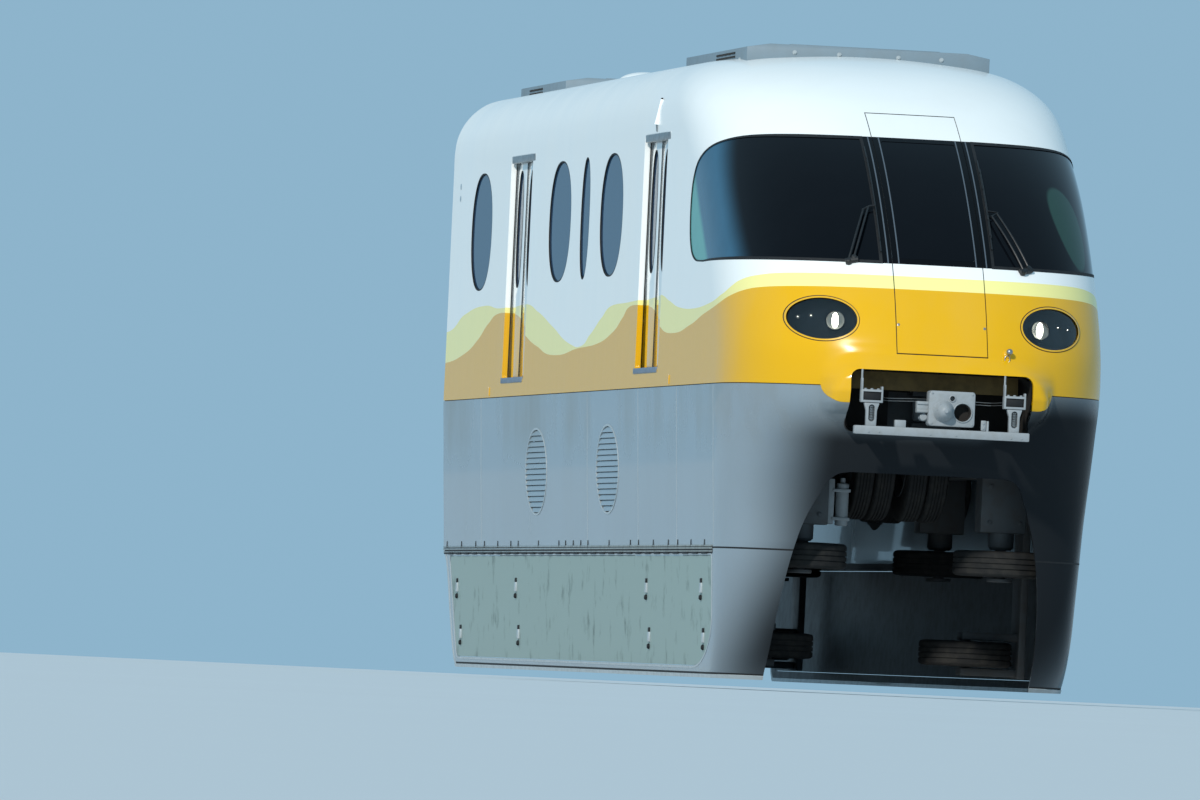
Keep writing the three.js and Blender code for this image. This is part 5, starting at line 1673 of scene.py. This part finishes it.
@dataclass
class RunningGear:
    """Two bogies with their load tyres, guide wheels and stabiliser wheels."""

    places: tuple[tuple[str, float], ...] = (("front", -4.8), ("rear", 4.8))
    axle_reach: float = 0.75
    axle_z: float = 0.503
    guide_x: float = 0.79
    guide_reach: float = 1.25
    guide_z: float = -0.3
    steady_z: float = -1.0
    flat_radius: float = 0.365
    load_radius: float = 0.503

    def tyre_rows(self, inner: float, outer: float, half: float, grooves: int) -> Outline:
        """Closed section of a tyre: bead, bulged wall, round shoulder and grooved tread."""
        wall = [(inner, 0.74), (inner + 0.012, 0.86), (inner + 0.3 * (outer - inner), 0.97),
                (inner + 0.6 * (outer - inner), 1.0), (outer - 0.03, 0.97), (outer - 0.012, 0.9),
                (outer - 0.002, 0.78)]
        tread = [(outer - 0.001, 0.72)]
        for i in range(grooves):
            at = 0.62 - 1.24 * (i + 0.5) / grooves
            tread += [(outer, at + 0.05), (outer - 0.009, at + 0.035), (outer - 0.009, at - 0.035),
                      (outer, at - 0.05)]
        tread.append((outer - 0.001, -0.72))
        rows = [(r, -share * half) for r, share in wall + tread]
        rows += [(r, share * half) for r, share in reversed(wall)]
        return [*rows, rows[0]]

    def flat_wheel(self, centre: Point, body: str) -> None:
        """Horizontal wheel: tyre, dished rim with bolts and a hub."""
        tyre = Form.turned(self.tyre_rows(0.21, self.flat_radius, 0.1, 3), centre, steps=48)
        publish(tyre, f"tyre_{body}", TYRE, body, [body], "tyre", crease=28)
        rows = [(0.052, -0.08), (0.09, -0.08), (0.1, -0.05), (0.18, -0.035), (0.2, -0.075), (0.222, -0.08),
                (0.222, -0.072), (0.209, -0.06), (0.209, 0.06), (0.222, 0.072), (0.222, 0.08), (0.2, 0.075),
                (0.18, 0.035), (0.1, 0.05), (0.09, 0.08), (0.052, 0.08), (0.052, -0.08)]
        rim = Form.turned(rows, centre, steps=32)
        for i in range(8):
            turn = math.tau * i / 8
            for way in (-1, 1):
                away = Vector((0.145 * math.cos(turn), 0.145 * math.sin(turn), way * 0.042))
                rim.plus(Form.bolt(Vector(centre) + away, (0, 0, way), 0.012))
        publish(rim, f"rim_{body}", STEEL, body, slot="dark_steel")

    def build_axle(self, place: Point, body: str) -> None:
        """Axle with twin load tyres on each side."""
        tyres, rims = Form(), Form()
        for sign in (-1, 1):
            for middle in (0.128, 0.292):
                centre = Vector(place) + Vector((sign * middle, 0, 0))
                tyres.plus(Form.turned(self.tyre_rows(0.3, self.load_radius, 0.079, 4), centre, (sign, 0, 0),
                                       56))
                rows = [(0.1, -0.05), (0.2, -0.03), (0.27, -0.065), (0.312, -0.074), (0.312, -0.066),
                        (0.299, -0.055), (0.299, 0.055), (0.312, 0.066), (0.312, 0.074), (0.27, 0.065),
                        (0.2, 0.04), (0.1, 0.05)]
                rims.plus(Form.turned([*rows, rows[0]], centre, (sign, 0, 0), 40))
                for i in range(10):
                    turn = math.tau * i / 10
                    spot = centre + Vector((sign * 0.038, 0.225 * math.cos(turn), 0.225 * math.sin(turn)))
                    rims.plus(Form.bolt(spot, (sign, 0, 0), 0.013))
        rows = [(0, -0.679), (0.05, -0.679), (0.059, -0.67), (0.059, -0.4), (0.105, -0.385), (0.105, 0.385),
                (0.059, 0.4), (0.059, 0.67), (0.05, 0.679), (0, 0.679)]
        rims.plus(Form.turned(rows, place, (1, 0, 0), 32))
        publish(tyres, f"load_tyres_{body}", TYRE, body, [body], "tyre", crease=28)
        publish(rims, f"axle_and_rims_{body}", STEEL, body, slot="dark_steel")

    def build_frame(self, name: str, y: float) -> None:
        """Bogie frame: bolster, side beams, guide and stabiliser arms, pivot cup and air springs."""
        body = f"bogie_{name}"
        frame, springs = Form(), Form()
        frame.plus(Form.block((-1.24, -0.18, 0.42), (1.24, 0.18, 0.62), 0.012),
                   Form.block((-0.56, -0.178, 0.6), (0.56, 0.178, 0.715), 0.01))
        frame.plus(Form.turned(((0, 0.7), (0.185, 0.7), (0.185, 0.85), (0.175, 0.86), (0.13, 0.86),
                                (0.125, 0.85), (0.125, 0.725), (0, 0.725)), (0, 0, 0), steps=32))
        for sign in (-1, 1):
            low, high = sorted((sign * 0.56, sign * 0.8))
            beam = Form.block((low, -1.42, 0.36), (high, 1.42, 0.64), 0.012)
            for end in (-1, 1):
                beam.carved(Form.rod((sign * 0.5, end * self.axle_reach, self.axle_z),
                                     (sign * 0.9, end * self.axle_reach, self.axle_z), 0.0725, 28))
            frame.plus(beam)
            for end in (-1, 1):
                reach = end * self.guide_reach
                low, high = sorted((sign * 0.6, sign * 0.96))
                frame.plus(Form.block((low, reach - 0.12, -0.06), (high, reach + 0.12, 0.38), 0.012))
                x = sign * self.guide_x
                frame.plus(Form.rod((x, reach, self.guide_z + 0.11), (x, reach, -0.04), 0.1, 28),
                           Form.rod((x, reach, self.guide_z - 0.14), (x, reach, 0), 0.045, 20),
                           Form.rod((x, reach, self.guide_z - 0.14), (x, reach, self.guide_z - 0.11), 0.1,
                                    28))
                for dx in (-0.12, 0.12):
                    for dz in (0.02, 0.3):
                        frame.plus(Form.bolt((x + dx, reach + end * 0.12, dz), (0, end, 0), 0.016))
                frame.plus(Form.turned(((0, 0), (0.1, 0), (0.1, 0.014), (0.085, 0.022), (0, 0.022)),
                                       (sign * 0.8, end * self.axle_reach, self.axle_z), (sign, 0, 0), 28))
            low, high = sorted((sign * 1.18, sign * 1.24))
            frame.plus(Form.block((low, -0.17, -1.18), (high, 0.17, 0.6), 0.01))
            for z0, z1 in ((0.11, 0.17), (-0.17, -0.11)):
                low, high = sorted((sign * 0.74, sign * 1.2))
                frame.plus(Form.block((low, -0.11, self.steady_z + z0), (high, 0.11, self.steady_z + z1),
                                      0.008))
            x = sign * self.guide_x
            frame.plus(Form.rod((x, 0, self.steady_z - 0.15), (x, 0, self.steady_z + 0.15), 0.045, 20))
            rows = [(0, 0.6), (0.17, 0.6), (0.17, 0.64)]
            for i in range(4):
                rows += [(0.148 + 0.02 * math.sin(t), 0.64 + 0.09 * (i + t / math.pi)) for t in
                         np.linspace(0.2, math.pi - 0.2, 6)]
            rows += [(0.17, 1.01), (0.17, 1.0495), (0, 1.0495)]
            springs.plus(Form.turned(rows, (sign * 0.95, 0, 0), steps=36))
        publish(frame.moved(y=y), f"frame_{body}", STEEL, body, [body], "dark_steel")
        publish(springs.moved(y=y), f"air_springs_{body}", RUBBER, body)
        if name == "front":
            bracket = Form.block((-0.6, -1.3, -0.05), (-0.545, -1.2, 0.3), 0.006)
            bracket.plus(Form.block((-0.56, -1.31, 0.2), (-0.42, -1.19, 0.225), 0.005),
                         Form.block((-0.56, -1.31, -0.02), (-0.42, -1.19, 0.005), 0.005),
                         Form.rod((-0.475, -1.25, -0.06), (-0.475, -1.25, 0.27), 0.05, 24),
                         Form.rod((-0.475, -1.25, 0.27), (-0.475, -1.25, 0.31), 0.02, 16))
            publish(bracket.moved(y=y), "guide_damper_bracket", CAST, body)

    def build(self) -> None:
        """Builds both bogies."""
        for name, y in self.places:
            self.build_frame(name, y)
            for end, way in (("fore", -1), ("aft", 1)):
                self.build_axle((0, y + way * self.axle_reach, self.axle_z), f"wheelset_{name}_{end}")
                for side, sign in SIDES.items():
                    centre = (sign * self.guide_x, y + way * self.guide_reach, self.guide_z)
                    self.flat_wheel(centre, f"guide_wheel_{name}_{end}_{side}")
            for side, sign in SIDES.items():
                self.flat_wheel((sign * self.guide_x, y, self.steady_z), f"stabiliser_wheel_{name}_{side}")


@dataclass
class Upholstery:
    """Stuffed pads, swollen by a short cloth simulation of their cover."""

    pressure: float = 4.0
    frames: int = 20

    def pad(self, low: Point, high: Point, corner: float) -> Form:
        """Round-cornered block that is a little smaller than the finished pad."""
        size = (Vector(high) - Vector(low)) / 2
        return Form.block(Vector(low) + size * 0.04, Vector(high) - size * 0.04, corner, 3)

    def swell(self, form: Form, voxel: float, cap: float) -> Form:
        """Blows a pad's cover out.

        Args:
            form: the pad before it is stuffed.
            voxel: size of the cover's even mesh.
            cap: the furthest that a point may move.

        Returns:
            The stuffed pad.
        """
        block = form.stand_in("block")
        even = block.modifiers.new("even", "REMESH")
        even.mode, even.voxel_size = "VOXEL", voxel
        graph = bpy.context.evaluated_depsgraph_get()
        mesh = bpy.data.meshes.new_from_object(block.evaluated_get(graph))
        cover = set_up("cover", mesh)
        cloth = cover.modifiers.new("stuffing", "CLOTH")
        cloth.settings.use_pressure = True
        cloth.settings.uniform_pressure_force = self.pressure
        cloth.settings.effector_weights.gravity = 0.0
        cloth.point_cache.frame_end = self.frames
        for frame in range(1, self.frames + 1):
            bpy.context.scene.frame_set(frame)
        graph = bpy.context.evaluated_depsgraph_get()
        swollen = cover.evaluated_get(graph).to_mesh()
        made = bmesh.new()
        made.from_mesh(mesh)
        for vert, moved in zip(made.verts, swollen.vertices):
            way = moved.co - vert.co
            vert.co += way * min(1.0, cap / max(way.length, 1e-9))
        bmesh.ops.smooth_vert(made, verts=made.verts, factor=0.5, use_axis_x=True, use_axis_y=True,
                              use_axis_z=True)
        for item in (block, cover):
            bpy.data.objects.remove(item)
        bpy.context.scene.frame_set(1)
        return Form(made)

    def piping(self, low: Point, high: Point, corner: float, level: float) -> Form:
        """Sewn piping round a level pad, at one height."""
        path = [(a, b, level) for a, b in rounded(low[0], high[0], low[1], high[1], corner, 4)]
        return Form.sweep([*path, path[0]], 0.0045, 6)


@dataclass
class Interior:
    """Saloon benches, floor, poles, cab bulkhead, driving desk and seat."""

    hull: Hull
    stuffing: Upholstery = field(default_factory=Upholstery)
    bench_y: tuple[float, float] = (-1.56, 2.56)
    seats: int = 8

    def build_benches(self) -> None:
        """Long benches under the middle windows, one stuffed pad for each seat."""
        pitch = (self.bench_y[1] - self.bench_y[0]) / self.seats
        seat_box = ((0.935, 0.008, 1.475), (1.3, pitch - 0.008, 1.562))
        back_box = ((1.305, 0.008, 1.575), (1.374, pitch - 0.008, 1.852))
        seat = self.stuffing.swell(self.stuffing.pad(*seat_box, 0.03), 0.014, 0.012)
        back = self.stuffing.swell(self.stuffing.pad(*back_box, 0.02), 0.014, 0.006)
        seam = self.stuffing.piping(*seat_box, 0.04, 1.53)
        for side, sign in SIDES.items():
            seats, backs, seams = Form(), Form(), Form()
            for i in range(self.seats):
                y = self.bench_y[0] + pitch * i
                seats.plus(seat.copy().moved(y=y))
                backs.plus(back.copy().moved(y=y))
                seams.plus(seam.copy().moved(y=y))
            base = Form.block((0.99, self.bench_y[0] + 0.03, 1.134), (1.37, self.bench_y[1] - 0.03, 1.45),
                              0.012)
            base.plus(Form.block((0.945, self.bench_y[0], 1.445), (1.375, self.bench_y[1], 1.478), 0.01))
            for i in range(9):
                y = self.bench_y[0] + 0.3 + 0.44 * i
                base.plus(Form.block((0.986, y, 1.2), (0.991, y + 0.3, 1.36), 0.002))
            publish(base.on(sign), f"bench_base_{side}", LINING, replaces=[f"bench_{side}"])
            publish(seats.on(sign), f"bench_cushions_{side}", CLOTH, slot="seat_cloth", crease=60)
            publish(backs.on(sign), f"bench_backs_{side}", CLOTH, slot="seat_cloth", crease=60)
            publish(seams.on(sign), f"bench_piping_{side}", PIPING)

    def build_saloon(self) -> None:
        """Floor covering, grab poles and ceiling rails."""
        publish(Form.block((-1.385, -3.91, 1.1303), (1.385, 7.375, 1.1345)), "saloon_flooring", FLOORING)
        publish(Form.block((-1.38, -5.95, 1.1303), (1.38, -3.965, 1.1345)), "cab_flooring", FLOORING)
        poles = Form()
        for x in (-0.75, 0.75):
            for y in (-3.4, -2.0, 0.51, 3.0, 4.7, 6.9):
                poles.plus(Form.rod((x, y, 1.1345), (x, y, 3.595), 0.016, 16),
                           Form.turned(((0, 0), (0.045, 0), (0.045, 0.006), (0.02, 0.014), (0, 0.014)),
                                       (x, y, 1.1345), steps=20))
            poles.plus(Form.rod((x, -3.4, 3.05), (x, 6.9, 3.05), 0.014, 12))
        publish(poles, "grab_poles", STAINLESS)

    def build_cab(self) -> None:
        """Bulkhead, desk with its screens and handle, and the driver's seat."""
        wall = Form.prism(Axis.Y, rounded(-1.4, 1.4, 1.1345, 3.08, 0.03), -3.96, -3.92, 0.003)
        wall.carved(Form.block((-0.38, -4.1, 1.0), (0.38, -3.8, 3.0)))
        wall.carved(Form.prism(Axis.Y, rounded(0.55, 1.25, 2.05, 2.75, 0.06), -4.1, -3.8),
                    Form.prism(Axis.Y, rounded(-1.25, -0.55, 2.05, 2.75, 0.06), -4.1, -3.8))
        publish(wall, "cab_bulkhead_panel", LINING, replaces=["cab_bulkhead"])
        panes = Form()
        for a, b in ((0.55, 1.25), (-1.25, -0.55)):
            panes.plus(Form.prism(Axis.Y, rounded(a - 0.005, b + 0.005, 2.045, 2.755, 0.06), -3.944, -3.938))
        publish(panes, "cab_bulkhead_panes", SIDE_GLASS)
        section = [(-6.6, 1.1345), (-6.24, 1.1345), (-6.22, 1.74), (-5.96, 1.78), (-5.96, 1.81),
                   (-6.2, 1.835), (-6.32, 1.859), (-6.6, 1.859)]
        desk = Form.prism(Axis.X, section, -1.4, -0.42, 0.008)
        desk.carved(self.hull.core(1.9, 0.05, 1.0, 1.9), keep=True)
        desk.plus(Form.rod((-0.62, -6.06, 1.8), (-0.62, -6.06, 1.855), 0.02, 20),
                  Form.rod((-0.66, -6.06, 1.848), (-0.58, -6.06, 1.848), 0.011, 12),
                  Form.rod((-1.1, -6.05, 1.8), (-1.1, -6.05, 1.838), 0.016, 16))
        publish(desk, "driving_desk", PLASTIC, replaces=["cab_desk"], slot="cab_plastic")
        screens = Form()
        for x in (-1.22, -0.94, -0.68):
            face = Form.block((x, -0.085, 0), (x + 0.2, 0.085, 0.006), 0.002)
            screens.plus(face.placed(Matrix.Translation((0, -6.11, 1.823)) @ Matrix.Rotation(-0.11, 4, "X")))
        publish(screens, "desk_screens", SCREEN)
        seat = self.stuffing.swell(self.stuffing.pad((-1.075, -5.62, 1.505), (-0.605, -5.175, 1.595), 0.03),
                                   0.01, 0.012)
        back = self.stuffing.swell(self.stuffing.pad((-1.055, -5.235, 1.6), (-0.625, -5.165, 2.155), 0.025),
                                   0.01, 0.01)
        publish(seat.plus(back), "cab_seat_pads", CLOTH, replaces=["cab_seat"], slot="seat_cloth",
                          crease=60)
        stand = Form.turned(((0, 1.1345), (0.2, 1.1345), (0.2, 1.15), (0.07, 1.175), (0.066, 1.46),
                             (0.12, 1.49), (0.12, 1.507), (0, 1.507)), (-0.84, -5.4, 0), steps=32)
        stand.plus(Form.block((-1.0, -5.172, 1.5), (-0.68, -5.162, 2.0), 0.004))
        publish(stand, "cab_seat_stand", BLACK_METAL)

    def build(self) -> None:
        """Builds the inside of the car."""
        self.build_benches()
        self.build_saloon()
        self.build_cab()


@dataclass
class Underside:
    """Cases and pipes under the floor between the bogies."""

    def build(self) -> None:
        """Builds the cases and pipes."""
        cases = Form()
        for x0, x1, y0, y1, z0 in ((-1.22, -0.5, -2.35, -0.75, 0.5), (-1.22, -0.55, -0.6, 0.7, 0.42),
                                   (0.5, 1.22, -2.35, -1.2, 0.46), (0.5, 1.22, -1.05, 0.9, 0.5),
                                   (0.55, 1.22, 1.1, 2.3, 0.44), (-1.22, -0.5, 0.9, 2.3, 0.5)):
            cases.plus(Form.block((x0, y0, z0), (x1, y1, 1.049), 0.02))
            for y in (y0 + 0.12, y1 - 0.12):
                for x in (x0 + 0.08, x1 - 0.08):
                    cases.plus(Form.bolt((x, y, z0), (0, 0, -1), 0.014))
            cases.plus(Form.block((x0 + 0.05, y0 + 0.05, z0 - 0.006), (x1 - 0.05, y1 - 0.05, z0 + 0.004),
                                  0.003))
        publish(cases, "underfloor_cases", UNIT_GREY, slot="unit_grey")
        pipes = Form()
        for x, z, radius in ((-0.3, 1.0, 0.025), (-0.22, 1.0, 0.018), (0.24, 0.995, 0.022),
                             (0.32, 1.01, 0.016)):
            pipes.plus(Form.rod((x, -2.55, z), (x, 2.55, z), radius, 14))
            for y in np.arange(-2.4, 2.5, 0.8):
                pipes.plus(Form.block((x - radius - 0.01, y - 0.015, z - radius - 0.008),
                                      (x + radius + 0.01, y + 0.015, 1.0495), 0.003))
        publish(pipes, "underfloor_pipes", ZINC)


@dataclass
class Studio:
    """Pale floor, soft sun and sky, and the camera at the photograph's place."""

    camera_at: Point = (-21.92, -121.355, -1.335)
    camera_aim: Point = (-2.568, -7.0, 0.802)
    camera_roll: float = 2.649
    lens_mm: float = 454.97
    floor_z: float = -1.36
    sun_from: Point = (-0.46, -0.73, 0.5)

    def build_camera(self) -> None:
        """Long-lens camera just above the floor, looking slightly up."""
        data = bpy.data.cameras.new("camera")
        data.lens, data.sensor_width = self.lens_mm, 36.0
        data.clip_start, data.clip_end = 1.0, 2000.0
        camera = set_up("camera", data)
        ahead = (Vector(self.camera_aim) - Vector(self.camera_at)).normalized()
        right = ahead.cross(Vector((0, 0, 1))).normalized()
        up = right.cross(ahead)
        roll = math.radians(self.camera_roll)
        across = right * math.cos(roll) + up * math.sin(roll)
        raised = up * math.cos(roll) - right * math.sin(roll)
        turn = Matrix((across, raised, -ahead)).transposed().to_4x4()
        camera.matrix_world = Matrix.Translation(self.camera_at) @ turn
        bpy.context.scene.camera = camera

    def build_floor(self) -> None:
        """Wide pale floor just under the camera and the skirts."""
        form = Form()
        bmesh.ops.create_grid(form.mesh, x_segments=2, y_segments=2, size=900.0)
        form.moved(z=self.floor_z)
        mesh = bpy.data.meshes.new("floor")
        form.mesh.to_mesh(mesh)
        mesh.materials.append(FLOOR.make())
        floor = set_up("floor", mesh)

    def build_light(self) -> None:
        """Low sun from the front left, and a pale sky."""
        light = bpy.data.lights.new("sun", "SUN")
        light.energy, light.angle, light.color = 2.8, math.radians(2.5), (1.0, 0.965, 0.9)
        sun = set_up("sun", light)
        sun.rotation_mode = "QUATERNION"
        sun.rotation_quaternion = Vector(self.sun_from).to_track_quat("Z", "Y")
        world = bpy.data.worlds.new("pale_sky")
        world.use_nodes = True
        bpy.context.scene.world = world
        sky = world.node_tree.nodes["Background"]
        sky.inputs["Color"].default_value = linear("#9DC7E1")
        sky.inputs["Strength"].default_value = 0.8
        bpy.context.scene.view_settings.view_transform = "Standard"

    def build(self) -> None:
        """Builds the studio."""
        self.build_camera()
        self.build_floor()
        self.build_light()


def dress_underframe(frame: dict) -> None:
    """Gives the underframe, the only node that no piece stands for, its finish."""
    node = frame["nodes"]["underframe"]
    node.data.materials.clear()
    node.data.materials.append(STEEL.make())


def corners(box: tuple[Vector, Vector]) -> list[list[float]]:
    """A box's two corners as plain lists of numbers."""
    return [[float(value) for value in corner] for corner in box]


def main() -> None:
    """Loads the frame, then builds the studio and every sub-assembly in order."""
    logging.basicConfig(level=logging.INFO, format="%(name)s: %(message)s")
    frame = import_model()
    Studio().build()
    dress_underframe(frame)
    hull = Hull()
    shell = BodyShell(hull)
    for part in (shell, FrontEnd(hull, shell), Coupling(), Skirts(hull, shell), Doorways(shell),
                 SideWindows(shell), RoofGear(), Gangway(hull), RunningGear(), Underside(), Interior(hull)):
        part.build()


if __name__ == "__main__":
    main()
